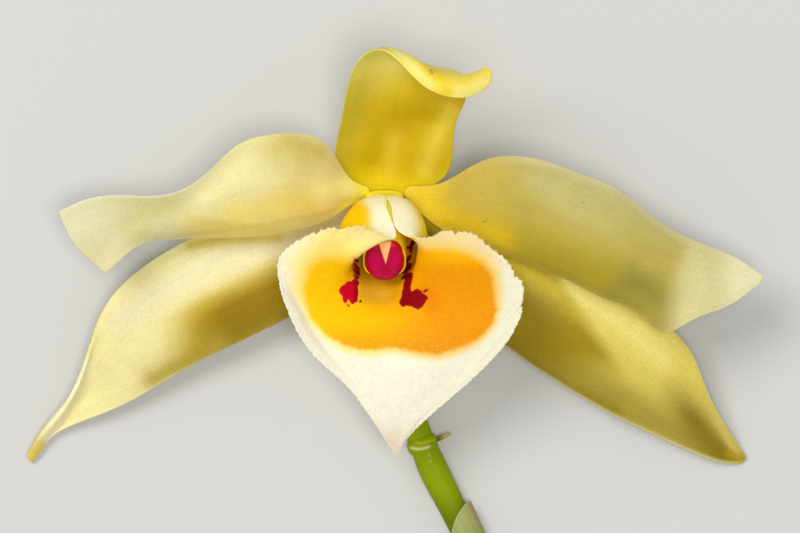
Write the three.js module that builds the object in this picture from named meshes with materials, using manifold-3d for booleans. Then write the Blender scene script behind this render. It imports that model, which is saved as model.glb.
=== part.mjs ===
// An orchid bloom on a short cut stem, laid on its back with its face up.
// Millimetres. X is across the bloom, Y is up the bloom, Z is the height above the surface it lies on.
import * as THREE from "three";
import { mergeVertices } from "three/addons/utils/BufferGeometryUtils.js";
import Module from "manifold-3d";

// Real sizes
const STEM_RADIUS = 1.22; // the flowering stem is about 2.4 mm thick
const STEM_AXIS_HEIGHT = 1.12; // the stem lies on the surface, pressed a little flat where it touches
const BLADE_EDGE = 0.6; // thickness of a sepal or petal at its margin
const BLADE_MIDRIB = 0.84; // and along its midrib
const LIP_EDGE = 0.6;
const LIP_MIDDLE = 0.72;
const SHEATH_THICKNESS = 0.6;
const BRACT_THICKNESS = 0.6;

// Every shape below is drawn in the plane DRAWN_AT, as it looks from VIEW_DISTANCE above that plane.
const VIEW_DISTANCE = 600;
const DRAWN_AT = 12;
// The middle of the whole bloom in that drawing; it becomes the origin.
const MIDDLE = [-0.7, -9.55];

// How finely each sheet is divided, along and across
const TEPAL_STEPS = [26, 10];
const LIP_STEPS = [76, 16];
const BRACT_STEPS = [5, 4];
const SHEATH_STEPS = [14, 12];
const ROD_SIDES = 16;
const PEDICEL_STEPS = 26;
const STEM_STEPS = 34;
const MERGED_WITHIN = 1e-4;
const ROUGHNESS = 0.6;

// The lip margin is waved and toothed where the bowl is open; places run from 0 at the claw to 1 at the tip
const BOWL_STARTS = 0.42;
const BOWL_OPEN = 0.5;
const WAVE_HEIGHT = 0.24;
const WAVE_COUNT = 21;
const WAVE_SHARES = [[0.7, 1], [0.3, 2.3]]; // share of the height, and times the count
const RIGHT_WAVE_SHIFT = 1.3; // radians by which the right margin's waves run ahead of the left's
const TOOTH_DEPTH = 0.13;
const TOOTH_FOLLOWS_WAVE = 0.35;
const MARGIN_SHARE = 0.16; // the share of the half width that the waves reach in from the margin

// Sepals and petals: each is five lines from base to tip, from one margin to the other.
const LEFT_PETAL = [
  [[-2.6, 6.85, 5.75], [-3.9, 7.5, 6.8], [-5.65, 9.6, 9.2], [-7.7, 11.35, 11], [-10.9, 11.5, 12.2],
    [-13.9, 10.7, 12.6], [-16.2, 8.65, 12.2], [-19.1, 6.6, 11.4], [-21.7, 6.13, 10.6],
    [-24.8, 6.2, 10.2], [-27.4, 5.8, 9.9], [-29.7, 4.75, 9.6]],
  [[-2.6, 6.6, 5.55], [-4, 7, 6.4], [-5.8, 8.3, 9], [-7.8, 9.4, 11.3], [-10.9, 9.4, 12.8],
    [-13.9, 8.8, 13.4], [-16.4, 7.2, 13.2], [-19.2, 5.5, 12.4], [-21.7, 5.1, 11.6], [-24.6, 5.1, 11],
    [-27, 4.6, 10.6], [-29.2, 3.5, 10.2]],
  [[-2.62, 6.35, 5.4], [-4.1, 6.4, 6.1], [-6, 6.9, 8.6], [-8.1, 7.3, 11], [-10.9, 7.15, 12.7],
    [-13.9, 6.6, 13.4], [-16.6, 5.6, 13.4], [-19.4, 4.5, 12.8], [-21.7, 4.1, 12.2], [-24.2, 3.8, 11.8],
    [-26.3, 3.1, 11.4], [-28.3, 1.9, 11]],
  [[-2.65, 6.1, 5.2], [-4.2, 5.85, 5.8], [-6.1, 5.5, 7.6], [-8.3, 5.2, 9.8], [-10.9, 4.9, 11.4],
    [-13.8, 4.5, 12.2], [-16.6, 4, 12.5], [-19.5, 3.4, 12.3], [-21.7, 3.05, 12], [-23.9, 2.6, 12.2],
    [-25.6, 1.7, 12.2], [-26.9, 0.5, 12]],
  [[-2.7, 5.85, 5], [-4.2, 5.35, 5.6], [-6, 4.2, 6.7], [-8.3, 3.35, 8.2], [-10.9, 2.8, 9.4],
    [-13.6, 2.55, 10.2], [-16.6, 2.5, 10.6], [-19.6, 2.4, 10.9], [-21.7, 2.15, 11.3],
    [-23.4, 1.35, 12.2], [-24.7, 0.2, 12.7], [-25.6, -0.57, 12.8]],
];
const RIGHT_PETAL = [
  [[0.35, 6.95, 5.75], [3.2, 7.15, 6.9], [6, 8.6, 9.1], [8.8, 9.6, 10.8], [12.2, 9.3, 11.8],
    [15.6, 8.1, 12.3], [18.6, 6.9, 12.4], [21.2, 5, 12], [23.6, 3.25, 11.5], [26.4, 1.95, 11],
    [29.4, 0.65, 10.6], [31.65, -0.9, 10.3]],
  [[0.4, 6.65, 5.55], [3, 6.4, 6.5], [5.8, 7, 8.9], [8.6, 7.4, 11], [11.9, 6.9, 12.5], [15.3, 5.7, 13.1],
    [18.4, 4.4, 13.2], [21.1, 2.5, 12.8], [23.6, 1.1, 12.2], [26.4, 0.5, 11.6], [29.3, -0.3, 11],
    [31.6, -1, 10.4]],
  [[0.42, 6.35, 5.4], [2.8, 5.6, 6.1], [5.5, 5.4, 8.5], [8.4, 5.2, 10.8], [11.6, 4.6, 12.3],
    [15, 3.3, 13.2], [18.2, 1.9, 13.3], [21, 0.1, 12.8], [23.6, -1.1, 12.2], [26.3, -1.3, 12],
    [29.2, -1.4, 11.4], [31.5, -1.15, 10.5]],
  [[0.45, 6.1, 5.2], [2.5, 4.9, 5.8], [5.2, 3.8, 7.6], [8.3, 3, 9.7], [11.4, 2.2, 11.2], [14.7, 0.9, 12],
    [18, -0.5, 11.9], [20.9, -2.1, 11], [23.4, -3.5, 11.4], [26, -3.1, 12], [28.9, -2.4, 11.6],
    [31.4, -1.3, 10.6]],
  [[0.5, 5.85, 5], [2.2, 4.3, 5.6], [4.8, 2.6, 6.6], [8, 1.5, 8], [11.1, 0.1, 9], [14.5, -1.1, 9.6],
    [17.9, -2.8, 9.7], [20.7, -4, 9.9], [22.9, -5.75, 11.4], [25.6, -4.6, 12], [28.6, -3.4, 11.6],
    [31.2, -1.5, 10.7]],
];
const LEFT_SEPAL = [
  [[-2.9, 5.4, 3.8], [-6.3, 5.2, 5.2], [-10.6, 4.6, 6.2], [-15, 3.6, 6.4], [-19, 2, 6],
    [-22.4, -0.1, 5.3], [-24.9, -2.4, 4.8], [-26.3, -4.8, 4.6], [-27.1, -7.4, 4.3], [-28, -10.2, 3.7],
    [-29.6, -12.4, 2.9], [-31.3, -14.5, 2], [-32.4, -16.4, 0.9]],
  [[-2.8, 4.6, 3.6], [-5.9, 3.8, 5], [-10.1, 2.5, 6.5], [-14.3, 1.2, 6.9], [-18.3, -0.5, 6.6],
    [-22, -2.7, 5.6], [-24.7, -4.9, 4.5], [-26.6, -7.1, 3.6], [-27.8, -9.4, 2.9], [-28.9, -11.5, 2.4],
    [-30.3, -13.3, 1.8], [-31.6, -15, 1.1], [-32.4, -16.6, 0.5]],
  [[-2.6, 3.8, 3.5], [-5.5, 2.1, 4.8], [-9.6, 0.1, 6.3], [-13.7, -1.4, 6.9], [-17.7, -3.2, 6.6],
    [-21.6, -5.4, 5.4], [-24.4, -7.4, 4], [-26.6, -9.3, 2.8], [-28.1, -11.2, 1.9], [-29.3, -12.7, 1.3],
    [-30.5, -14.1, 0.8], [-31.6, -15.5, 0.4], [-32.3, -16.8, 0.25]],
  [[-2.4, 3, 3.5], [-5, 0.5, 4.6], [-9.1, -2.1, 5.6], [-13.2, -3.8, 6], [-17.3, -5.7, 5.5],
    [-21.2, -8, 4.4], [-24.2, -9.8, 3.1], [-26.7, -11.2, 2], [-28.4, -12.6, 1.3], [-29.6, -13.7, 0.9],
    [-30.7, -14.7, 0.6], [-31.5, -15.9, 0.35], [-32.2, -16.95, 0.25]],
  [[-2.2, 2.3, 3.6], [-4.6, -1.1, 4.3], [-8.7, -3.9, 4.5], [-12.9, -6, 4.3], [-17, -8, 3.8],
    [-20.8, -10.15, 3.1], [-24, -12, 2.4], [-26.9, -13.2, 1.9], [-28.8, -13.95, 1.5], [-30, -14.6, 1.2],
    [-30.8, -15.4, 0.9], [-31.3, -16.3, 0.6], [-31.9, -17, 0.4]],
];
const RIGHT_SEPAL = [
  [[0.7, 5.4, 3.8], [4.6, 4.8, 5.1], [9, 3.6, 6], [13.2, 1.9, 6.2], [17, -0.1, 5.9], [20.5, -2.5, 5.4],
    [23.4, -5.2, 5.2], [25.4, -7.6, 4.9], [26.5, -10.3, 4.1], [27.6, -12.7, 3], [28.9, -14.8, 1.7],
    [30.1, -16.6, 0.6]],
  [[0.6, 4.6, 3.6], [4.1, 3.3, 4.9], [8.3, 1.5, 6.3], [12.3, -0.5, 6.8], [16.2, -2.7, 6.5],
    [19.7, -5, 5.8], [22.7, -7.4, 4.8], [25, -9.5, 3.9], [26.6, -11.9, 2.9], [27.9, -13.9, 1.9],
    [29.1, -15.5, 1], [30.05, -16.8, 0.4]],
  [[0.4, 3.8, 3.5], [3.5, 1.8, 4.7], [7.6, -0.6, 6.1], [11.6, -3, 6.7], [15.5, -5.3, 6.3],
    [19.1, -7.6, 5.3], [22.2, -9.6, 4.1], [24.8, -11.5, 3], [26.8, -13.4, 2], [28.1, -14.9, 1.2],
    [29.1, -16, 0.6], [30, -16.9, 0.25]],
  [[0.2, 3, 3.5], [3, 0.2, 4.5], [7, -2.7, 5.5], [11, -5.5, 5.8], [15, -8, 5.2], [18.7, -10.2, 4.2],
    [21.9, -11.9, 3.2], [24.7, -13.4, 2.3], [26.9, -14.9, 1.4], [28.2, -15.9, 0.8], [29.1, -16.5, 0.4],
    [29.85, -17, 0.25]],
  [[0, 2.3, 3.6], [2.6, -1.4, 4.3], [6.5, -4.8, 4.4], [10.5, -7.9, 4.1], [14.6, -10.6, 3.6],
    [18.4, -12.85, 3], [21.8, -14.5, 2.4], [24.8, -15.9, 1.9], [27, -16.8, 1.4], [28.3, -17.1, 0.9],
    [29.1, -17.15, 0.6], [29.7, -17.1, 0.35]],
];
const DORSAL_SEPAL = [
  [[-1.8, 6.4, 4.4], [-3.8, 7.5, 5.2], [-5.5, 9.9, 7.7], [-5.1, 12.7, 11.4], [-4.5, 15.9, 15.2],
    [-3, 18.5, 18.2], [-1.2, 18.7, 20.2], [0.9, 16.75, 21.4], [3.1, 15.1, 21.6], [5.6, 14.7, 21.2],
    [7.5, 15.5, 20.6]],
  [[-1.5, 6.5, 4.3], [-2.6, 7.8, 5.1], [-3.5, 10.2, 7.6], [-3.2, 12.9, 10.6], [-2.4, 15.6, 13.4],
    [-1.2, 18.6, 16.2], [0, 18.9, 18.6], [1.6, 18, 21], [3.7, 16.1, 21.7], [5.9, 15.4, 21.4],
    [7.7, 16, 20.6]],
  [[-1.1, 6.5, 4.25], [-0.7, 7.9, 5.2], [-0.4, 10.4, 7.6], [0, 13, 10.2], [0.3, 15, 12.6],
    [1.3, 17.4, 15.3], [2, 17.9, 17.2], [2.8, 17.6, 19.4], [4.4, 16.8, 20.8], [6.2, 16.1, 21.1],
    [7.9, 16.5, 20.5]],
  [[-0.7, 6.5, 4.3], [1.4, 7.8, 5.1], [2.4, 10.3, 7.9], [2.9, 12.8, 10.6], [3.2, 14.3, 13.1],
    [3.8, 16, 15.4], [4.2, 16.7, 16.9], [4.7, 16.9, 18.2], [5.5, 16.8, 19.4], [6.7, 16.6, 20.3],
    [7.9, 17, 20.2]],
  [[-0.4, 6.4, 4.4], [3.2, 7.5, 5.3], [4.4, 10.1, 8.5], [4.9, 12.6, 11.6], [5.6, 14.2, 14.4],
    [5.8, 14.9, 16.2], [6.1, 15.4, 17.2], [6.3, 15.8, 18], [6.7, 16.1, 18.8], [7.3, 16.7, 19.5],
    [7.6, 17.35, 20]],
];

// The lip: ribs from the claw to the tip, each from the left margin under the column to the right margin.
// The first ribs wrap round the column, the later ones open out into the bowl.
const LIP_RIBS = [
  [[-2.1, 4.4, 5.4], [-1.9, 4.2, 5.2], [-1.7, 4, 5], [-1.4, 3.9, 4.9], [-1.2, 3.8, 4.9], [-1, 3.9, 4.9],
    [-0.7, 4, 5], [-0.5, 4.2, 5.2], [-0.3, 4.4, 5.4]],
  [[-3.1, 5.8, 7], [-3.5, 5.1, 6.4], [-3.4, 4.4, 5.7], [-2.6, 3.6, 5.1], [-1.3, 3.2, 4.9], [0, 3.6, 5.1],
    [0.8, 4.4, 5.7], [0.9, 5.1, 6.4], [0.5, 5.8, 7]],
  [[-1.45, 6.15, 8.6], [-3.3, 5.65, 8.2], [-4.2, 4.3, 7], [-3.35, 2.95, 5.9], [-1.3, 2.5, 5.5],
    [0.75, 2.95, 5.9], [1.6, 4.3, 7], [0.7, 5.65, 8.2], [-0.8, 6.15, 8.6]],
  [[-1.1, 5.65, 10.2], [-3.8, 4.95, 9.7], [-4.85, 3.35, 8.3], [-3.85, 1.65, 7], [-1.3, 0.95, 6.4],
    [1.15, 1.65, 7], [2.1, 3.35, 8.3], [1.15, 4.95, 9.7], [-0.75, 5.65, 10.2]],
  [[-0.8, 4.1, 12.1], [-3.7, 3.5, 11.7], [-4.95, 1.9, 10.2], [-3.9, 0.05, 8.75], [-1.3, -0.7, 8.1],
    [1.2, 0.05, 8.75], [2.2, 1.9, 10.2], [1.5, 3.3, 11.7], [-0.42, 3.9, 12.1]],
  [[-0.45, 2.5, 14], [-2.5, 2.5, 14.1], [-4.35, 0.8, 12.4], [-3.55, -1.4, 10.4], [-1.3, -2, 9.5],
    [0.7, -1.4, 10.4], [1.6, 0.4, 11.9], [1.6, 2.1, 13.2], [0.45, 2.95, 13.4]],
  [[-1.9, 1.95, 15], [-3.3, 1.75, 14.7], [-4.65, -0.3, 12.7], [-3.65, -2.3, 11], [-1.3, -2.9, 10.3],
    [0.9, -2.3, 10.9], [2.1, -0.6, 12.2], [2.4, 1.2, 13.6], [1.7, 2.45, 14.1]],
  [[-3.7, 3.45, 15.6], [-4.8, 1.9, 14.9], [-5.6, -0.7, 13.2], [-4.2, -3.2, 11.8], [-1.2, -4, 11.2],
    [1.6, -3.2, 11.7], [3.2, -1, 12.9], [3.4, 1.1, 14.2], [2.9, 2.6, 14.8]],
  [[-6.1, 3.25, 15.8], [-6.8, 1.4, 15], [-6.7, -1.4, 13.6], [-4.6, -4.2, 12.3], [-1, -5.2, 11.8],
    [2.6, -4.2, 12.2], [4.8, -1.6, 13.5], [5, 1.1, 14.8], [4.9, 3, 15.5]],
  [[-8.5, 2.4, 15.8], [-8.4, 0.3, 15.1], [-7.6, -2.6, 13.8], [-4.9, -5.4, 12.7], [-0.9, -6.4, 12.2],
    [3.2, -5.4, 12.6], [6.3, -2.6, 13.8], [7.2, 0.2, 15], [7.4, 2.7, 15.9]],
  [[-10.6, 0.6, 15.8], [-9.7, -1.3, 15], [-8.1, -3.9, 13.8], [-5, -6.5, 12.8], [-0.8, -7.5, 12.3],
    [3.6, -6.6, 12.7], [7.3, -4, 13.9], [8.9, -1.3, 15.1], [9.7, 0.6, 15.9]],
  [[-10.4, -2.2, 15.5], [-9.4, -3.9, 14.6], [-7.7, -5.8, 13.5], [-4.7, -7.8, 12.6], [-0.7, -8.6, 12.2],
    [3.6, -7.9, 12.6], [7.4, -5.8, 13.6], [9.5, -3.8, 14.7], [10.8, -2.2, 15.5]],
  [[-9.3, -5.1, 14.9], [-8.3, -6.5, 14], [-6.7, -7.9, 13], [-4, -9.4, 12.2], [-0.5, -10, 11.8],
    [3.3, -9.4, 12.2], [6.9, -7.9, 13], [9.1, -6.4, 14], [10.3, -5, 14.9]],
  [[-7.6, -7.9, 13.8], [-6.7, -9, 13.1], [-5.3, -10.1, 12.4], [-3.1, -11.1, 11.7], [-0.4, -11.6, 11.3],
    [2.4, -11.1, 11.6], [5.3, -10.1, 12.3], [7.3, -9, 13.1], [8.7, -7.8, 14]],
  [[-5, -10.2, 12.5], [-4.4, -11.1, 12], [-3.4, -12, 11.5], [-2, -12.8, 10.9], [-0.3, -13.2, 10.6],
    [1.5, -12.8, 10.9], [3.3, -12.1, 11.4], [4.8, -11.4, 11.9], [6.1, -10.5, 12.5]],
  [[-2.7, -12.9, 11], [-2.4, -13.5, 10.8], [-1.8, -14.1, 10.5], [-1.1, -14.6, 10.2], [-0.25, -14.9, 10],
    [0.5, -14.7, 10.2], [1.3, -14.3, 10.4], [2.1, -13.9, 10.6], [3, -13.2, 11]],
  [[-1.4, -15, 10.1], [-1.15, -15.4, 10], [-0.85, -15.85, 9.8], [-0.55, -16.25, 9.6],
    [-0.26, -16.6, 9.4], [-0.05, -16.2, 9.6], [0.15, -15.8, 9.8], [0.35, -15.4, 9.9], [0.7, -15, 10.1]],
];

// Round parts: centre line with the radius at each place
const PEDICEL_LINE = [
  [-1.1, 5.4, 3.65, 0.95], [-1.1, 5.7, 3.2, 1.3], [-1.1, 5.5, 2.1, 1.5], [-1.1, 4.1, 1.4, 1.45],
  [-1.15, 1.6, 1.2, 1.3], [-1.05, -3, 1.1, 1.2], [-0.55, -8.5, 1.08, 1.14], [1.7, -14.75, 1.08, 1.14],
];
const STEM_LINE = [
  [1.78, -15.05, STEM_AXIS_HEIGHT, 1.3], [1.89, -15.35, STEM_AXIS_HEIGHT, 1.4],
  [2.07, -15.75, STEM_AXIS_HEIGHT, 1.34], [2.35, -16.35, STEM_AXIS_HEIGHT, STEM_RADIUS],
  [4.23, -20.3, STEM_AXIS_HEIGHT, STEM_RADIUS], [4.95, -21.8, STEM_AXIS_HEIGHT, 1.1],
  [5.7, -23.3, STEM_AXIS_HEIGHT, 0.82], [7.5, -26.9, STEM_AXIS_HEIGHT, 0.8],
  [9.1, -30.2, STEM_AXIS_HEIGHT, 0.85], [9.6, -31.3, STEM_AXIS_HEIGHT, 1.25],
  [10.1, -32.3, STEM_AXIS_HEIGHT, 1.3], [12.4, -37, STEM_AXIS_HEIGHT, STEM_RADIUS],
];
// The sheath's centre line follows the stem from its tip down to its node.
// Its angles, in degrees, go from the stem's right side over the top.
const SHEATH_TIP = [4.6, -21.1, STEM_AXIS_HEIGHT];
const SHEATH_NODE = [9.35, -30.8, STEM_AXIS_HEIGHT];
const SHEATH_RADIUS = 1.36;
const SHEATH_FLARE = 0.3;
const SHEATH_TIP_ANGLES = [8, 40];
const SHEATH_ANGLES = [-42, 196];
const SHEATH_OPENED_AT = 0.42;
const SHEATH_WIDENING = 0.6; // the power by which the sheath opens out from its tip
const SHEATH_FLARE_FALL = 3; // and by which its flare falls off
// The bract stands out from the ring on the right: one narrow pointed scale between its two margins.
const BRACT = [
  [[3.6, -14.72, 1.5], [3.95, -14.52, 1.55], [4.36, -14.42, 1.6]],
  [[3.6, -14.95, 1.4], [3.97, -14.68, 1.45], [4.38, -14.5, 1.55]],
  [[3.62, -15.18, 1.3], [4, -14.85, 1.35], [4.4, -14.6, 1.5]],
];

// The column leans forward out of the middle of the bloom along this line.
const COLUMN_BASE = [-1.35, 5.6, 5.5];
const NOD = THREE.MathUtils.degToRad(38.3);
// Distance along the column, shift towards its back, half width, half depth, crest on its back
const COLUMN_SECTIONS = [
  [-0.5, -0.3, 0.85, 0.75, 0], [0.4, 0, 1.05, 1, 0.1], [1, 0, 1.3, 1.3, 0.2], [2.2, 0, 1.6, 1.5, 0.4],
  [4, 0, 1.8, 1.7, 0.6], [6, 0, 1.92, 1.75, 0.5], [7.1, 0, 1.93, 1.7, 0.35], [7.7, 0, 1.75, 1.45, 0.2],
];
const CREST_SIDE = ROD_SIDES / 4; // the side of the column that faces straight back

// The anther cap: half its outline, from the notch at the top round to the bottom, in its own plane
const CAP_CENTRE_ALONG = 8.1;
const CAP_HEIGHT = 0.95;
const CAP_MIDDLE = -0.95; // the dome's highest place, measured like the outline
const CAP_OUTLINE = [
  [0.12, 0.3], [0.5, 2], [1.05, 2.2], [1.45, 1.5], [1.73, 0.2], [1.5, -0.95], [0.85, -1.62], [0.15, -1.88],
];
// Share of the dome's height, share of its width
const CAP_LEVELS = [[0, 0.94], [0.35, 1], [0.7, 0.86], [0.92, 0.55], [1, 0.2]];

const wasm = await Module();
wasm.setup();

const carry = ([x, y, z]) => {
  const share = (VIEW_DISTANCE - (z - DRAWN_AT)) / VIEW_DISTANCE;
  return [x * share - MIDDLE[0], y * share - MIDDLE[1], z];
};

// Natural cubic curve through values at the given knots.
const bends = (knots, values) => {
  const count = knots.length;
  const bend = values.map((value) => value.map(() => 0));
  const upper = new Array(count).fill(0);
  for (let i = 1; i < count - 1; i += 1) {
    const before = knots[i] - knots[i - 1];
    const after = knots[i + 1] - knots[i];
    const pivot = 2 * (before + after) - before * upper[i - 1];
    upper[i] = after / pivot;
    bend[i] = bend[i].map((_, k) => {
      const turn = (values[i + 1][k] - values[i][k]) / after - (values[i][k] - values[i - 1][k]) / before;
      return (6 * turn - before * bend[i - 1][k]) / pivot;
    });
  }
  for (let i = count - 2; i > 0; i -= 1) {
    bend[i] = bend[i].map((value, k) => value - upper[i] * bend[i + 1][k]);
  }
  return bend;
};

const curve = (knots, values) => {
  const bend = bends(knots, values);
  return (at) => {
    let i = 0;
    while (i < knots.length - 2 && at > knots[i + 1]) {
      i += 1;
    }
    const step = knots[i + 1] - knots[i];
    const a = (knots[i + 1] - at) / step;
    const b = (at - knots[i]) / step;
    return values[i].map((value, k) => {
      const pull = (a ** 3 - a) * bend[i][k] + (b ** 3 - b) * bend[i + 1][k];
      return a * value + b * values[i + 1][k] + (pull * step ** 2) / 6;
    });
  };
};

const mean = (values) => values.reduce((sum, value) => sum + value, 0) / values.length;

const apart = (a, b) => Math.hypot(a[0] - b[0], a[1] - b[1], a[2] - b[2]);

// Knots from the mean distance between one line of points and the next
const knotsOf = (lines) => {
  const steps = lines.slice(1).map((line, i) => {
    const gaps = line.map((point, j) => apart(point, lines[i][j]));
    return mean(gaps);
  });
  const total = steps.reduce((sum, step) => sum + step, 0);
  return steps.reduce((knots, step) => [...knots, knots[knots.length - 1] + step / total], [0]);
};

// Points of the smooth sheet through the ribs, as rows from base to tip
const sheet = (ribs, [along, across]) => {
  const alongKnots = knotsOf(ribs);
  const lines = ribs[0].map((_, j) => ribs.map((rib) => rib[j]));
  const acrossKnots = knotsOf(lines);
  const lineCurves = lines.map((line) => curve(alongKnots, line));
  return Array.from({ length: along + 1 }, (_, i) => {
    const rib = lineCurves.map((line) => line(i / along));
    const ribCurve = curve(acrossKnots, rib);
    return Array.from({ length: across + 1 }, (__, j) => ribCurve(j / across));
  });
};

const subtract = (a, b) => a.map((value, k) => value - b[k]);

const normalAt = (grid, i, j) => {
  const last = [grid.length - 1, grid[0].length - 1];
  const down = subtract(grid[Math.min(i + 1, last[0])][j], grid[Math.max(i - 1, 0)][j]);
  const side = subtract(grid[i][Math.min(j + 1, last[1])], grid[i][Math.max(j - 1, 0)]);
  return new THREE.Vector3(...down).cross(new THREE.Vector3(...side)).normalize();
};

// A sheet given thickness: two faces split alike, closed by a rim.
const slab = (grid, thicknessAt) => {
  const rows = grid.length;
  const columns = grid[0].length;
  const points = [];
  [1, -1].forEach((side) => {
    grid.forEach((row, i) => {
      row.forEach((point, j) => {
        const half = thicknessAt(i / (rows - 1), j / (columns - 1)) / 2;
        const out = normalAt(grid, i, j).multiplyScalar(side * half);
        points.push(point[0] + out.x, point[1] + out.y, point[2] + out.z);
      });
    });
  });
  const front = (i, j) => i * columns + j;
  const back = (i, j) => rows * columns + i * columns + j;
  const faces = [];
  for (let i = 0; i < rows - 1; i += 1) {
    for (let j = 0; j < columns - 1; j += 1) {
      faces.push(front(i, j), front(i + 1, j + 1), front(i, j + 1));
      faces.push(front(i, j), front(i + 1, j), front(i + 1, j + 1));
      faces.push(back(i, j), back(i, j + 1), back(i + 1, j + 1));
      faces.push(back(i, j), back(i + 1, j + 1), back(i + 1, j));
    }
  }
  const rim = [];
  for (let i = 0; i < rows; i += 1) {
    rim.push([i, 0]);
  }
  for (let j = 1; j < columns; j += 1) {
    rim.push([rows - 1, j]);
  }
  for (let i = rows - 2; i >= 0; i -= 1) {
    rim.push([i, columns - 1]);
  }
  for (let j = columns - 2; j > 0; j -= 1) {
    rim.push([0, j]);
  }
  rim.forEach(([i, j], k) => {
    const [m, n] = rim[(k + 1) % rim.length];
    faces.push(front(i, j), back(i, j), back(m, n), front(i, j), back(m, n), front(m, n));
  });
  return { points, faces };
};

const middleOf = (ring) => [0, 1, 2].map((k) => mean(ring.map((point) => point[k])));

// A round solid through rings of points, closed at each end by a fan round a point in its middle
const loft = (rings, ends = [middleOf(rings[0]), middleOf(rings[rings.length - 1])]) => {
  const sides = rings[0].length;
  const points = [...rings, ends].flat(2);
  const middles = [rings.length * sides, rings.length * sides + 1];
  const faces = [];
  for (let i = 0; i < rings.length - 1; i += 1) {
    for (let j = 0; j < sides; j += 1) {
      const next = (j + 1) % sides;
      const here = i * sides;
      const there = here + sides;
      faces.push(here + j, here + next, there + next, here + j, there + next, there + j);
    }
  }
  const end = (rings.length - 1) * sides;
  for (let j = 0; j < sides; j += 1) {
    const next = (j + 1) % sides;
    faces.push(middles[0], next, j, middles[1], end + j, end + next);
  }
  return { points, faces };
};

const rod = (line, steps) => {
  const places = line.map(([x, y, z, radius]) => [...carry([x, y, z]), radius]);
  const along = curve(knotsOf(places.map((place) => [place])), places);
  const centres = Array.from({ length: steps + 1 }, (_, i) => along(i / steps));
  let side = new THREE.Vector3(1, 0, 0);
  return loft(centres.map((centre, i) => {
    const ahead = centres[Math.min(i + 1, steps)];
    const behind = centres[Math.max(i - 1, 0)];
    const way = new THREE.Vector3(...subtract(ahead, behind).slice(0, 3)).normalize();
    side = side.clone().addScaledVector(way, -side.dot(way)).normalize();
    const up = way.clone().cross(side);
    return Array.from({ length: ROD_SIDES }, (_, j) => {
      const angle = (2 * Math.PI * j) / ROD_SIDES;
      const out = side.clone().multiplyScalar(Math.cos(angle)).addScaledVector(up, Math.sin(angle));
      return [0, 1, 2].map((k) => centre[k] + centre[3] * out.getComponent(k));
    });
  }));
};

// A place in the column's own frame: across, towards its back, along it.
const onColumn = (across, back, along) => carry([
  COLUMN_BASE[0] + across,
  COLUMN_BASE[1] + back * Math.cos(NOD) - along * Math.sin(NOD),
  COLUMN_BASE[2] + back * Math.sin(NOD) + along * Math.cos(NOD),
]);

const solid = ({ points, faces }) => new wasm.Manifold(new wasm.Mesh({
  numProp: 3,
  vertProperties: new Float32Array(points),
  triVerts: new Uint32Array(faces),
}));

// Nothing reaches below the surface the bloom lies on.
const aboveFloor = (body) => body.trimByPlane([0, 0, 1], 0);

const tepal = (lines) => {
  const ribs = lines[0].map((_, i) => lines.map((line) => carry(line[i])));
  const thickness = (u, v) => BLADE_EDGE + (BLADE_MIDRIB - BLADE_EDGE) * Math.sin(Math.PI * v) * (1 - u);
  return aboveFloor(solid(slab(sheet(ribs, TEPAL_STEPS), thickness)));
};

const waved = (grid) => {
  const rows = grid.length;
  const columns = grid[0].length;
  return grid.map((row, i) => row.map((point, j) => {
    const u = i / (rows - 1);
    const fromMiddle = Math.abs(2 * (j / (columns - 1)) - 1);
    const near = Math.max(0, (fromMiddle - 1 + MARGIN_SHARE) / MARGIN_SHARE) ** 2;
    const open = THREE.MathUtils.smoothstep(u, BOWL_STARTS, BOWL_OPEN);
    const left = j < columns / 2;
    const inner = row[left ? j + 1 : j - 1];
    const outward = new THREE.Vector3(...subtract(point, inner)).normalize();
    const normal = normalAt(grid, i, j);
    const phase = 2 * Math.PI * WAVE_COUNT * u + (left ? 0 : RIGHT_WAVE_SHIFT);
    const wave = WAVE_SHARES.reduce((sum, [share, times]) => sum + share * Math.sin(times * phase), 0);
    const lift = near * open * WAVE_HEIGHT * wave;
    const tooth = i % 2 ? TOOTH_DEPTH : -TOOTH_DEPTH;
    const reach = fromMiddle === 1 ? open * (tooth + TOOTH_FOLLOWS_WAVE * lift) : 0;
    return point.map((value, k) => value + lift * normal.getComponent(k) + reach * outward.getComponent(k));
  }));
};

const lip = () => {
  const ribs = LIP_RIBS.map((rib) => rib.map(carry));
  const thickness = (u, v) => LIP_EDGE + (LIP_MIDDLE - LIP_EDGE) * Math.sin(Math.PI * v);
  return solid(slab(waved(sheet(ribs, LIP_STEPS)), thickness));
};

const column = () => solid(loft(COLUMN_SECTIONS.map(([along, shift, width, depth, crest]) => (
  Array.from({ length: ROD_SIDES }, (_, j) => {
    const angle = (2 * Math.PI * j) / ROD_SIDES;
    const back = shift + depth * Math.sin(angle) + (j === CREST_SIDE ? crest : 0);
    return onColumn(width * Math.cos(angle), back, along);
  })
))));

const antherCap = () => {
  const outline = [...CAP_OUTLINE.map(([x, y]) => [-x, y]), ...[...CAP_OUTLINE].reverse()];
  const place = ([x, y], [rise, share]) => (
    onColumn(x * share, CAP_MIDDLE + (y - CAP_MIDDLE) * share, CAP_CENTRE_ALONG + rise * CAP_HEIGHT)
  );
  const rings = CAP_LEVELS.map((level) => outline.map((point) => place(point, level)));
  const ends = [CAP_LEVELS[0], CAP_LEVELS[CAP_LEVELS.length - 1]];
  return solid(loft(rings, ends.map((level) => place([0, CAP_MIDDLE], level))));
};

const leaf = (lines, steps, thickness) => {
  const ribs = lines[0].map((_, i) => lines.map((line) => carry(line[i])));
  return aboveFloor(solid(slab(sheet(ribs, steps), () => thickness)));
};

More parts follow.
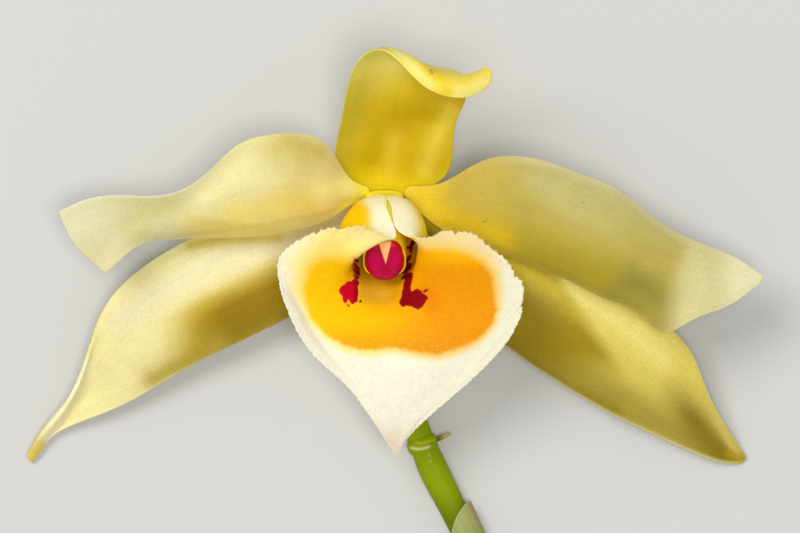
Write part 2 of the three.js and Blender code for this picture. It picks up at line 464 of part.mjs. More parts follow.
// The papery sheath hugs the stem from a node near the cut end up to a loose pointed tip on the right.
const sheath = () => {
  const [along, across] = SHEATH_STEPS;
  const way = subtract(carry(SHEATH_NODE), carry(SHEATH_TIP));
  const length = Math.hypot(...way);
  const down = way.map((value) => value / length);
  const side = [-down[1], down[0], 0];
  const start = carry(SHEATH_TIP);
  const grid = Array.from({ length: along + 1 }, (_, i) => {
    const u = i / along;
    const opened = Math.min(1, u / SHEATH_OPENED_AT) ** SHEATH_WIDENING;
    return Array.from({ length: across + 1 }, (__, j) => {
      const v = j / across;
      const low = SHEATH_TIP_ANGLES[0] + (SHEATH_ANGLES[0] - SHEATH_TIP_ANGLES[0]) * opened;
      const high = SHEATH_TIP_ANGLES[1] + (SHEATH_ANGLES[1] - SHEATH_TIP_ANGLES[1]) * opened;
      const angle = THREE.MathUtils.degToRad(low + (high - low) * v);
      const radius = SHEATH_RADIUS + SHEATH_FLARE * (1 - u) ** SHEATH_FLARE_FALL;
      const out = radius * Math.cos(angle);
      return [
        start[0] + down[0] * length * u + side[0] * out,
        start[1] + down[1] * length * u + side[1] * out,
        STEM_AXIS_HEIGHT + radius * Math.sin(angle),
      ];
    });
  });
  return aboveFloor(solid(slab(grid, () => SHEATH_THICKNESS)));
};

const group = new THREE.Group();

const add = (name, body, colour) => {
  const mesh = body.getMesh();
  const shape = new THREE.BufferGeometry();
  shape.setAttribute("position", new THREE.BufferAttribute(new Float32Array(mesh.vertProperties), 3));
  shape.setIndex(new THREE.BufferAttribute(new Uint32Array(mesh.triVerts), 1));
  const joined = mergeVertices(shape, MERGED_WITHIN);
  joined.computeVertexNormals();
  const material = new THREE.MeshStandardMaterial({ color: colour, roughness: ROUGHNESS });
  const made = new THREE.Mesh(joined, material);
  made.name = name;
  group.add(made);
};

add("dorsal_sepal", tepal(DORSAL_SEPAL), 0xc9b83a);
add("left_petal", tepal(LEFT_PETAL), 0xe3d9a0);
add("right_petal", tepal(RIGHT_PETAL), 0xdccb86);
add("left_sepal", tepal(LEFT_SEPAL), 0xd6c877);
add("right_sepal", tepal(RIGHT_SEPAL), 0xcdbb60);
add("lip", lip(), 0xf2e6bd);
add("column", column(), 0xe0b040);
add("anther_cap", antherCap(), 0xb01048);
add("pedicel", aboveFloor(solid(rod(PEDICEL_LINE, PEDICEL_STEPS))), 0x9db03c);
add("stem", aboveFloor(solid(rod(STEM_LINE, STEM_STEPS))), 0x86a82e);
add("bract", leaf(BRACT, BRACT_STEPS, BRACT_THICKNESS), 0xb8a878);
add("sheath", sheath(), 0xa9ae8c);

export default group;
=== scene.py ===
"""An orchid bloom on a short cut stem, laid on its back with its face up and seen from above.

Shapes are written in millimetres as they look in the plane DRAWN_AT from VIEW_DISTANCE above it:
x to the right, y up the bloom, z the height above the floor. They become metres when a mesh is made.
"""

import bpy
import numpy as np
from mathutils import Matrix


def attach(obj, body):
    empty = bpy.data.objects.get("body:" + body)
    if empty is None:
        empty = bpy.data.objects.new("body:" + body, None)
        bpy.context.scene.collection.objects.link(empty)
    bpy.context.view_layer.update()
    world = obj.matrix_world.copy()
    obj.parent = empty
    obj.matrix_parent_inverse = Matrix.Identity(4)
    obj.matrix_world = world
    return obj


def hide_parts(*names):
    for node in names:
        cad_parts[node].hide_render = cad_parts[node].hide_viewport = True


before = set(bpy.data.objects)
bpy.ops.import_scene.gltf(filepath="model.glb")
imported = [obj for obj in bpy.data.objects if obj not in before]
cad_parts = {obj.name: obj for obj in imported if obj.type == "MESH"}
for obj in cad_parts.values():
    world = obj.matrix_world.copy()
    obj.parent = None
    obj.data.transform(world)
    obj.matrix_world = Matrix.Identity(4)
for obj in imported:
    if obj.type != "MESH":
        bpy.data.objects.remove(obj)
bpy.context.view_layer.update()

MM = 0.001
VIEW_DISTANCE = 600.0
DRAWN_AT = 12.0
MIDDLE = np.array([-0.7, -9.55])
PICTURE_WIDTH = 69.565
SENSOR = 36.0
FLOOR_GAP = 0.02
SEED = 11

# Thickness of the living tissue
TEPAL_THICKNESS = 0.4
LIP_THICKNESS = 0.36
SCALE_THICKNESS = 0.26
THIN_SHARE = 0.4
THIN_REACH = 1.5

# Sepals and petals: five lines from base to tip, from one margin to the other
LEFT_PETAL = [
    [[-3.0, 6.98, 5.75], [-4.2, 7.55, 6.8], [-5.75, 9.75, 9.2], [-7.7, 11.35, 11], [-10.9, 11.5, 12.2],
     [-13.9, 10.7, 12.6], [-16.2, 8.65, 12.2], [-19.1, 6.6, 11.4], [-21.7, 6.13, 10.6],
     [-24.8, 6.2, 10.2], [-27.4, 5.8, 9.9], [-29.7, 4.75, 9.6]],
    [[-2.7, 6.72, 5.55], [-4, 7, 6.4], [-5.8, 8.3, 9], [-7.8, 9.4, 11.3], [-10.9, 9.4, 12.8],
     [-13.9, 8.8, 13.4], [-16.4, 7.2, 13.2], [-19.2, 5.5, 12.4], [-21.7, 5.1, 11.6], [-24.6, 5.1, 11],
     [-27, 4.6, 10.6], [-29.2, 3.5, 10.2]],
    [[-2.62, 6.35, 5.4], [-4.1, 6.4, 6.1], [-6, 6.9, 8.6], [-8.1, 7.3, 11], [-10.9, 7.15, 12.7],
     [-13.9, 6.6, 13.4], [-16.6, 5.6, 13.4], [-19.4, 4.5, 12.8], [-21.7, 4.1, 12.2], [-24.2, 3.8, 11.8],
     [-26.3, 3.1, 11.4], [-28.3, 1.9, 11]],
    [[-2.7, 6.05, 5.2], [-4.2, 5.85, 5.8], [-6.1, 5.5, 7.6], [-8.3, 5.2, 9.8], [-10.9, 4.9, 11.4],
     [-13.8, 4.5, 12.2], [-16.6, 4, 12.5], [-19.5, 3.4, 12.3], [-21.7, 3.05, 12], [-23.9, 2.6, 12.2],
     [-25.6, 1.7, 12.2], [-26.9, 0.5, 12]],
    [[-2.95, 5.75, 5], [-4.2, 5.35, 5.6], [-6, 4.2, 6.7], [-8.3, 3.35, 8.2], [-10.9, 2.8, 9.4],
     [-13.6, 2.55, 10.2], [-16.6, 2.5, 10.6], [-19.6, 2.4, 10.9], [-21.7, 2.15, 11.3],
     [-23.4, 1.35, 12.2], [-24.7, 0.2, 12.7], [-25.6, -0.57, 12.8]],
]
RIGHT_PETAL = [
    [[0.9, 7, 5.75], [3.2, 7.15, 6.9], [6, 8.6, 9.1], [8.8, 9.6, 10.8], [12.2, 9.3, 11.8],
     [15.6, 8.1, 12.3], [18.6, 6.9, 12.4], [21.2, 5, 12], [23.6, 3.25, 11.5], [26.4, 1.95, 11],
     [29.4, 0.65, 10.6], [31.65, -0.9, 10.3]],
    [[0.48, 6.75, 5.55], [3, 6.4, 6.5], [5.8, 7, 8.9], [8.6, 7.4, 11], [11.9, 6.9, 12.5], [15.3, 5.7, 13.1],
     [18.4, 4.4, 13.2], [21.1, 2.5, 12.8], [23.6, 1.1, 12.2], [26.4, 0.5, 11.6], [29.3, -0.3, 11],
     [31.6, -1, 10.4]],
    [[0.36, 6.35, 5.4], [2.8, 5.6, 6.1], [5.5, 5.4, 8.5], [8.4, 5.2, 10.8], [11.6, 4.6, 12.3],
     [15, 3.3, 13.2], [18.2, 1.9, 13.3], [21, 0.1, 12.8], [23.6, -1.1, 12.2], [26.3, -1.3, 12],
     [29.2, -1.4, 11.4], [31.5, -1.15, 10.5]],
    [[0.45, 6.1, 5.2], [2.5, 4.9, 5.8], [5.2, 3.8, 7.6], [8.3, 3, 9.7], [11.4, 2.2, 11.2], [14.7, 0.9, 12],
     [18, -0.5, 11.9], [20.9, -2.1, 11], [23.4, -3.5, 11.4], [26, -3.1, 12], [28.9, -2.4, 11.6],
     [31.4, -1.3, 10.6]],
    [[0.7, 5.7, 5], [2.2, 4.3, 5.6], [4.8, 2.6, 6.6], [8, 1.5, 8], [11.1, 0.1, 9], [14.5, -1.1, 9.6],
     [17.9, -2.8, 9.7], [20.7, -4, 9.9], [22.9, -5.75, 11.4], [25.6, -4.6, 12], [28.6, -3.4, 11.6],
     [31.2, -1.5, 10.7]],
]
LEFT_SEPAL = [
    [[-2.9, 5.4, 3.8], [-6.3, 5.2, 5.2], [-10.6, 4.6, 6.2], [-15, 3.6, 6.4], [-19, 2, 6],
     [-22.4, -0.1, 5.3], [-24.9, -2.4, 4.8], [-26.3, -4.8, 4.6], [-27.1, -7.4, 4.2], [-28, -10.2, 3.3],
     [-29.6, -12.4, 2.3], [-31.3, -14.5, 1.5], [-32.4, -16.4, 0.8]],
    [[-2.8, 4.6, 3.6], [-5.9, 3.8, 5], [-10.1, 2.5, 6.5], [-14.3, 1.2, 6.9], [-18.3, -0.5, 6.6],
     [-22, -2.7, 5.6], [-24.7, -4.9, 4.5], [-26.6, -7.1, 3.9], [-27.7, -9.5, 3.6], [-28.8, -11.7, 3.1],
     [-30.2, -13.5, 2.4], [-31.55, -15.1, 1.65], [-32.4, -16.6, 0.9]],
    [[-2.6, 3.8, 3.5], [-5.5, 2.1, 4.8], [-9.6, 0.1, 6.3], [-13.7, -1.4, 6.9], [-17.7, -3.2, 6.6],
     [-21.6, -5.4, 5.4], [-24.4, -7.4, 4], [-26.6, -9.3, 2.8], [-28.1, -11.2, 2.1], [-29.3, -12.8, 2.1],
     [-30.5, -14.2, 1.9], [-31.6, -15.5, 1.4], [-32.3, -16.8, 0.8]],
    [[-2.4, 3, 3.5], [-5, 0.5, 4.6], [-9.1, -2.1, 5.6], [-13.2, -3.8, 6], [-17.3, -5.7, 5.5],
     [-21.2, -8, 4.4], [-24.2, -9.8, 3.1], [-26.7, -11.2, 2], [-28.4, -12.6, 1.5], [-29.6, -13.8, 1.4],
     [-30.7, -14.8, 1.35], [-31.5, -15.9, 1.1], [-32.2, -16.95, 0.65]],
    [[-2.2, 2.3, 3.6], [-4.6, -1.1, 4.3], [-8.7, -3.9, 4.5], [-12.9, -6, 4.3], [-17, -8, 3.8],
     [-20.8, -10.15, 3.1], [-24, -12, 2.4], [-26.9, -13.2, 1.9], [-28.8, -13.95, 1.5], [-30, -14.6, 1.2],
     [-30.8, -15.4, 0.9], [-31.3, -16.3, 0.6], [-31.9, -17, 0.4]],
]
RIGHT_SEPAL = [
    [[0.7, 5.4, 3.8], [4.6, 4.8, 5.1], [9, 3.6, 6], [13.2, 1.9, 6.2], [17, -0.1, 5.9], [20.5, -2.5, 5.4],
     [23.4, -5.2, 5.2], [25.4, -7.6, 4.9], [26.5, -10.3, 4.1], [27.6, -12.7, 3], [28.9, -14.8, 1.7],
     [30.1, -16.6, 0.6]],
    [[0.6, 4.6, 3.6], [4.1, 3.3, 4.9], [8.3, 1.5, 6.3], [12.3, -0.5, 6.8], [16.2, -2.7, 6.5],
     [19.7, -5, 5.8], [22.7, -7.4, 4.8], [25, -9.5, 3.9], [26.6, -11.9, 2.9], [27.9, -13.9, 1.9],
     [29.1, -15.5, 1], [30.05, -16.8, 0.4]],
    [[0.4, 3.8, 3.5], [3.5, 1.8, 4.7], [7.6, -0.6, 6.1], [11.6, -3, 6.7], [15.5, -5.3, 6.3],
     [19.1, -7.6, 5.3], [22.2, -9.6, 4.1], [24.8, -11.5, 3], [26.8, -13.4, 2], [28.1, -14.9, 1.2],
     [29.1, -16, 0.6], [30, -16.9, 0.25]],
    [[0.2, 3, 3.5], [3, 0.2, 4.5], [7, -2.7, 5.5], [11, -5.5, 5.8], [15, -8, 5.2], [18.7, -10.2, 4.2],
     [21.9, -11.9, 3.2], [24.7, -13.4, 2.3], [26.9, -14.9, 1.4], [28.2, -15.9, 0.8], [29.1, -16.5, 0.4],
     [29.85, -17, 0.25]],
    [[0, 2.3, 3.6], [2.6, -1.4, 4.3], [6.5, -4.8, 4.4], [10.5, -7.9, 4.1], [14.6, -10.6, 3.6],
     [18.4, -12.85, 3], [21.8, -14.5, 2.4], [24.8, -15.9, 1.9], [27, -16.8, 1.4], [28.3, -17.1, 0.9],
     [29.1, -17.15, 0.6], [29.7, -17.1, 0.35]],
]
DORSAL_SEPAL = [
    [[-2.6, 6.1, 4.3], [-4.5, 7.5, 5.2], [-5.6, 9.9, 7.7], [-5.1, 12.7, 11.4], [-4.5, 15.9, 15.2],
     [-3, 18.5, 18.2], [-1.2, 18.7, 20.2], [0.9, 16.75, 21.4], [3.1, 15.1, 21.6], [5.7, 14.7, 21.2],
     [7.35, 15.35, 20.6]],
    [[-1.9, 6.1, 4.3], [-2.6, 7.8, 5.1], [-3.5, 10.2, 7.6], [-3.2, 12.9, 10.6], [-2.4, 15.6, 13.4],
     [-1.2, 18.6, 16.2], [-0.1, 18.65, 18.6], [1.5, 17.6, 21], [3.6, 15.9, 21.7], [5.9, 15.4, 21.4],
     [7.8, 15.85, 20.6]],
    [[-1.1, 6.1, 4.25], [-0.7, 7.9, 5.2], [-0.4, 10.4, 7.6], [0, 13, 10.2], [0.3, 15, 12.6],
     [1.3, 17.4, 15.3], [2, 17.55, 17.2], [2.8, 17.2, 19.4], [4.4, 16.5, 20.8], [6.2, 16.15, 21.1],
     [8.0, 16.5, 20.5]],
    [[-0.4, 6.1, 4.3], [1.4, 7.8, 5.1], [2.4, 10.3, 7.9], [2.9, 12.8, 10.6], [3.2, 14.3, 13.1],
     [3.8, 16, 15.4], [4.2, 16.7, 16.9], [4.7, 16.9, 18.2], [5.4, 16.5, 19.4], [6.55, 16.75, 20.3],
     [7.9, 17.05, 20.2]],
    [[0.4, 6.1, 4.4], [3.4, 7.4, 5.3], [4.6, 10.2, 8.5], [4.9, 12.6, 11.6], [5.6, 14.2, 14.4],
     [5.8, 14.9, 16.2], [6.1, 15.4, 17.2], [6.3, 15.8, 18], [6.6, 16.3, 18.8], [7.05, 17.0, 19.5],
     [7.5, 17.42, 20]],
]

# The lip: ribs from the claw to the tip, each from the left margin under the column to the right margin
LIP_RIBS = [
    [[-2.1, 4.4, 5.4], [-1.9, 4.2, 5.2], [-1.7, 4, 5], [-1.4, 3.9, 4.9], [-1.2, 3.8, 4.9], [-1, 3.9, 4.9],
     [-0.7, 4, 5], [-0.5, 4.2, 5.2], [-0.3, 4.4, 5.4]],
    [[-3.1, 5.8, 7], [-3.5, 5.1, 6.4], [-3.4, 4.4, 5.7], [-2.6, 3.6, 5.1], [-1.3, 3.2, 4.9], [0, 3.6, 5.1],
     [0.8, 4.4, 5.7], [0.9, 5.1, 6.4], [0.5, 5.8, 7]],
    [[-1.45, 6.15, 8.6], [-3.3, 5.65, 8.2], [-4.2, 4.3, 7], [-3.35, 2.95, 5.9], [-1.3, 2.5, 5.5],
     [0.75, 2.95, 5.9], [1.6, 4.3, 7], [0.6, 5.65, 8.2], [-1.1, 6.15, 8.6]],
    [[-1.1, 5.65, 10.2], [-3.8, 4.95, 9.7], [-4.85, 3.35, 8.3], [-3.85, 1.65, 7], [-1.3, 0.95, 6.4],
     [1.15, 1.65, 7], [2.05, 3.35, 8.3], [1.1, 4.95, 9.7], [-0.93, 5.65, 10.2]],
    [[-0.72, 4.1, 12.1], [-3.7, 3.5, 11.7], [-4.95, 1.9, 10.2], [-3.9, 0.05, 8.75], [-1.3, -0.7, 8.1],
     [1.2, 0.05, 8.75], [2.1, 1.9, 10.2], [1.42, 3.3, 11.7], [-0.6, 3.95, 12.1]],
    [[-0.62, 2.42, 13.8], [-2.2, 2.15, 14.3], [-4.35, 0.8, 12.4], [-3.55, -1.4, 10.4], [-1.3, -2, 9.5],
     [0.7, -1.4, 10.4], [1.6, 0.4, 11.9], [1.6, 2.1, 13.2], [0.47, 2.72, 13.4]],
    [[-2.1, 3.0, 14.6], [-3.2, 1.6, 14.9], [-4.65, -0.3, 12.7], [-3.65, -2.3, 11], [-1.3, -2.9, 10.3],
     [0.9, -2.3, 10.9], [2.1, -0.6, 12.2], [2.4, 1.2, 13.6], [1.7, 2.45, 14.1]],
    [[-3.7, 3.25, 15.4], [-4.8, 1.8, 14.9], [-5.6, -0.7, 13.2], [-4.2, -3.2, 11.8], [-1.2, -4, 11.2],
     [1.6, -3.2, 11.7], [3.2, -1, 12.9], [3.4, 1.1, 14.2], [2.95, 2.6, 14.8]],
    [[-6.1, 3.05, 15.8], [-6.8, 1.3, 15], [-6.7, -1.4, 13.6], [-4.6, -4.2, 12.3], [-1, -5.2, 11.8],
     [2.6, -4.2, 12.2], [4.8, -1.6, 13.5], [5, 1.1, 14.8], [4.85, 2.8, 15.5]],
    [[-8.5, 2.35, 15.8], [-8.4, 0.3, 15.1], [-7.6, -2.6, 13.8], [-4.9, -5.4, 12.7], [-0.9, -6.4, 12.2],
     [3.2, -5.4, 12.6], [6.3, -2.6, 13.8], [6.9, 0.1, 15], [7.05, 2.12, 15.9]],
    [[-10.45, 0.5, 15.8], [-9.7, -1.3, 15], [-8.1, -3.9, 13.8], [-5, -6.5, 12.8], [-0.8, -7.5, 12.3],
     [3.6, -6.6, 12.7], [7.3, -4, 13.9], [8.7, -1.4, 15.1], [9.25, 0.22, 15.9]],
    [[-10.25, -2.2, 15.5], [-9.35, -3.3, 14.75], [-7.7, -5.3, 13.5], [-4.7, -7.7, 12.6], [-0.7, -8.6, 12.2],
     [3.6, -7.9, 12.6], [7.4, -5.8, 13.6], [9.3, -3.8, 14.7], [10.42, -2.2, 15.5]],
    [[-9.2, -5.05, 14.9], [-8.35, -5.65, 14.25], [-6.7, -7.15, 13.1], [-4, -9.1, 12.2], [-0.5, -10, 11.8],
     [3.3, -9.4, 12.2], [6.9, -7.9, 13], [8.8, -6.3, 14], [10.15, -5, 14.9]],
    [[-7.35, -7.85, 13.8], [-6.45, -8.15, 13.2], [-4.95, -9, 12.35], [-2.85, -10.6, 11.7],
     [-0.4, -11.5, 11.3], [2.3, -10.9, 11.6], [5.0, -9.75, 12.3], [6.8, -8.6, 13.1], [8.35, -7.7, 14]],
    [[-4.85, -10.15, 12.5], [-4.15, -10.55, 12.05], [-3.1, -11.35, 11.5], [-1.8, -12.5, 10.9],
     [-0.3, -13.1, 10.6], [1.4, -12.6, 10.9], [3.0, -11.8, 11.4], [4.35, -11, 11.9], [5.6, -10.4, 12.5]],
    [[-2.72, -12.85, 11], [-2.25, -13.15, 10.8], [-1.65, -13.85, 10.5], [-1.0, -14.45, 10.2],
     [-0.25, -14.8, 10], [0.4, -14.5, 10.2], [1.05, -14, 10.4], [1.65, -13.5, 10.6], [2.35, -13.2, 11]],
    [[-1.3, -15, 10.1], [-1.05, -15.4, 10], [-0.8, -15.85, 9.8], [-0.55, -16.2, 9.6],
     [-0.3, -16.5, 9.4], [-0.13, -16.15, 9.6], [0.04, -15.75, 9.8], [0.25, -15.35, 9.9], [0.5, -15, 10.1]],
]


# Curves and sheets

def knots(lines):
    """Places of the lines along the sheet, from the mean distance between one and the next."""
    step = np.linalg.norm(np.diff(lines, axis=0), axis=2).mean(axis=1)
    return np.concatenate([[0.0], np.cumsum(step)]) / step.sum()


def spline(at_knots, values, places):
    """Natural cubic curve through the values at the knots, read at the places."""
    count = len(at_knots)
    gap = np.diff(at_knots)
    flat = np.asarray(values, float).reshape(count, -1)
    matrix = np.eye(count)
    turn = np.zeros_like(flat)
    for i in range(1, count - 1):
        matrix[i, i - 1:i + 2] = gap[i - 1], 2 * (gap[i - 1] + gap[i]), gap[i]
        turn[i] = 6 * ((flat[i + 1] - flat[i]) / gap[i] - (flat[i] - flat[i - 1]) / gap[i - 1])
    bend = np.linalg.solve(matrix, turn)
    places = np.asarray(places, float)
    i = np.clip(np.searchsorted(at_knots, places, side="right") - 1, 0, count - 2)
    after = ((places - at_knots[i]) / gap[i])[:, None]
    before = 1 - after
    pull = (before ** 3 - before) * bend[i] + (after ** 3 - after) * bend[i + 1]
    curve = before * flat[i] + after * flat[i + 1] + pull * gap[i][:, None] ** 2 / 6
    return curve.reshape((len(places),) + np.shape(values)[1:])


def carry(points):
    """Points drawn as they look, taken to where they are (mm, row frame)."""
    points = np.asarray(points, float)
    share = (VIEW_DISTANCE - (points[..., 2:3] - DRAWN_AT)) / VIEW_DISTANCE
    return np.concatenate([points[..., :2] * share - MIDDLE, points[..., 2:3]], axis=-1)


def seen(points):
    """The other way round: how points in the row frame look in the drawing."""
    share = (VIEW_DISTANCE - (points[..., 2:3] - DRAWN_AT)) / VIEW_DISTANCE
    return (points[..., :2] + MIDDLE) / share


def sheet(lines, along, across):
    """Rows of points of the smooth sheet through lines that run from base to tip."""
    net = carry(np.array(lines, float).transpose(1, 0, 2))
    rows = spline(knots(net), net, along)
    columns = spline(knots(net.transpose(1, 0, 2)), rows.transpose(1, 0, 2), across)
    return columns.transpose(1, 0, 2)


def normals(grid):
    down = np.gradient(grid, axis=0)
    side = np.gradient(grid, axis=1)
    out = np.cross(down, side)
    return out / np.maximum(np.linalg.norm(out, axis=2, keepdims=True), 1e-9)


def rise(values, low, high):
    """0 up to low and 1 from high on, with a soft step between; low may be the larger."""
    share = np.clip((values - low) / (high - low), 0, 1)
    return share * share * (3 - 2 * share)


def away(places, line):
    """Distance of each place from a line through a few points, or from one point."""
    line = np.array(line, float)
    if len(line) == 1:
        return np.linalg.norm(places - line[0], axis=-1)
    best = np.full(places.shape[:-1], np.inf)
    for start, end in zip(line[:-1], line[1:]):
        way = end - start
        share = np.clip(((places - start) @ way) / (way @ way), 0, 1)
        near = start + share[..., None] * way
        best = np.minimum(best, np.linalg.norm(places - near, axis=-1))
    return best


def within(places, outline):
    """Distance from a closed outline, above 0 inside it and below 0 outside."""
    outline = np.array(outline, float)
    closed = np.concatenate([outline, outline[:1]])
    inside = np.zeros(places.shape[:-1], bool)
    x, y = places[..., 0], places[..., 1]
    for (x0, y0), (x1, y1) in zip(closed[:-1], closed[1:]):
        if y0 != y1:
            crosses = ((y0 > y) != (y1 > y)) & (x < x0 + (y - y0) * (x1 - x0) / (y1 - y0))
            inside ^= crosses
    distance = away(places, closed)
    return np.where(inside, distance, -distance)


def stroke(places, line, width):
    """A soft brush stroke along a line, 1 in its middle."""
    return np.exp(-(away(places, line) / width) ** 2)


# Meshes

def put_in_scene(name, data):
    made = bpy.data.objects.new(name, data)
    bpy.context.scene.collection.objects.link(made)
    return made


def make_piece(name, points, faces, marks, material, node):
    """A smooth piece from points in mm, with a number for each point under each mark's name."""
    points = np.array(points, float)
    points[:, 2] = np.maximum(points[:, 2], FLOOR_GAP)
    mesh = bpy.data.meshes.new(name)
    mesh.from_pydata((points * MM).tolist(), [], [list(map(int, face)) for face in faces])
    for mark, values in marks.items():
        layer = mesh.attributes.new(mark, "FLOAT", "POINT")
        layer.data.foreach_set("value", np.ascontiguousarray(values, dtype=np.float32))
    mesh.shade_smooth()
    mesh.update()
    mesh.materials.append(material)
    piece = put_in_scene(name, mesh)
    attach(piece, "root")
    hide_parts(node)


class Skin:
    """The two faces of a sheet, meeting in one line of points round its rim."""

    def __init__(self, middle, thickness):
        rows, columns = middle.shape[:2]
        self.middle = middle
        self.normal = normals(middle)
        self.reach = self.rim_distance(middle)
        thin = THIN_SHARE * thickness / 2
        depth = np.clip(self.reach / thin, 0, 1)
        swell = thin * np.sqrt(1 - (1 - depth) ** 2)
        swell += (thickness / 2 - thin) * rise(self.reach, 0, THIN_REACH)
        swell = swell[..., None]
        front = middle + self.normal * swell
        back = middle - self.normal * swell
        self.points = np.concatenate([front.reshape(-1, 3), back[1:-1, 1:-1].reshape(-1, 3)])
        upper = np.arange(rows * columns).reshape(rows, columns)
        lower = upper.copy()
        lower[1:-1, 1:-1] = rows * columns + np.arange((rows - 2) * (columns - 2)).reshape(rows - 2, -1)
        corners = [np.s_[:-1, :-1], np.s_[1:, :-1], np.s_[1:, 1:], np.s_[:-1, 1:]]
        face_up = np.stack([upper[corner].ravel() for corner in corners], axis=1)
        face_down = np.stack([lower[corner].ravel() for corner in corners[::-1]], axis=1)
        self.faces = np.concatenate([face_up, face_down]).tolist()

    @staticmethod
    def rim_distance(middle):
        """Distance of each point from the nearest margin, measured along the sheet's lines."""
        side = np.linalg.norm(np.diff(middle, axis=1), axis=2)
        from_left = np.concatenate([np.zeros((len(middle), 1)), side.cumsum(axis=1)], axis=1)
        from_right = from_left[:, -1:] - from_left
        down = np.linalg.norm(np.diff(middle, axis=0), axis=2)
        from_base = np.concatenate([np.zeros((1, middle.shape[1])), down.cumsum(axis=0)])
        from_tip = from_base[-1:] - from_base
        return np.minimum.reduce([from_left, from_right, from_base, from_tip])

    def spread(self, field):
        """A number for each place of the sheet, given to both its faces."""
        return np.concatenate([field.ravel(), field[1:-1, 1:-1].ravel()])

    def face_mark(self, front_is_face):
        """1 on the flower's face, 0 on its back, halfway on the rim."""
        front = np.full(self.middle.shape[:2], 0.5)
        front[1:-1, 1:-1] = 1.0 if front_is_face else 0.0
        back = np.full(np.prod(np.array(front.shape) - 2), 0.0 if front_is_face else 1.0)
        return np.concatenate([front.ravel(), back])


def close_to_ends(count, ends):
    """Places from 0 to 1 in even steps, with a few more close to both ends."""
    inner = np.linspace(ends[-1] * 2, 1 - ends[-1] * 2, count)
    return np.concatenate([[0.0], ends, inner, 1 - np.array(ends[::-1]), [1.0]])


def loft(rings):
    """Points and faces of a round solid through rings, closed by a fan at each end."""
    rings = np.array(rings, float)
    count, sides = rings.shape[:2]
    points = np.concatenate([rings.reshape(-1, 3), rings[:1].mean(axis=1), rings[-1:].mean(axis=1)])
    here = np.arange(count * sides).reshape(count, sides)
    after = np.roll(here, -1, axis=1)
    walls = np.stack([here[:-1], after[:-1], after[1:], here[1:]], axis=-1).reshape(-1, 4)
    first = [[count * sides, b, a] for a, b in zip(here[0], after[0])]
    last = [[count * sides + 1, a, b] for a, b in zip(here[-1], after[-1])]
    return points, walls.tolist() + first + last


def loft_marks(rings, values):
    """A number for each ring, for all of its points and the two fans' middles."""
    sides = np.array(rings).shape[1]
    return np.concatenate([np.repeat(values, sides), [values[0], values[-1]]])


def rod_rings(line, steps, sides, swell=None):
    """Rings round a line of [x, y, z, radius], with an extra radius from swell(place, angle)."""
    line = np.array(line, float)
    places = np.concatenate([carry(line[:, :3]), line[:, 3:]], axis=1)
    along = np.linspace(0, 1, steps + 1)
    centres = spline(knots(places[:, None, :]), places, along)
    ways = np.gradient(centres[:, :3], axis=0)
    ways /= np.linalg.norm(ways, axis=1, keepdims=True)
    angle = 2 * np.pi * np.arange(sides) / sides
    side = np.array([1.0, 0.0, 0.0])
    rings = []
    for centre, way, place in zip(centres, ways, along):
        side = side - way * (side @ way)
        side /= np.linalg.norm(side)
        up = np.cross(way, side)
        radius = centre[3] + (swell(place, angle) if swell else 0 * angle)
        out = np.cos(angle)[:, None] * side + np.sin(angle)[:, None] * up
        rings.append(centre[:3] + radius[:, None] * out)
    return np.array(rings)


# Finishes

def colour(red, green, blue):
    """A colour given on the usual 0 to 255 scale, as the shaders need it."""
    share = np.array([red, green, blue]) / 255
    linear = np.where(share > 0.04045, ((share + 0.055) / 1.055) ** 2.4, share / 12.92)
    return (*linear.tolist(), 1.0)


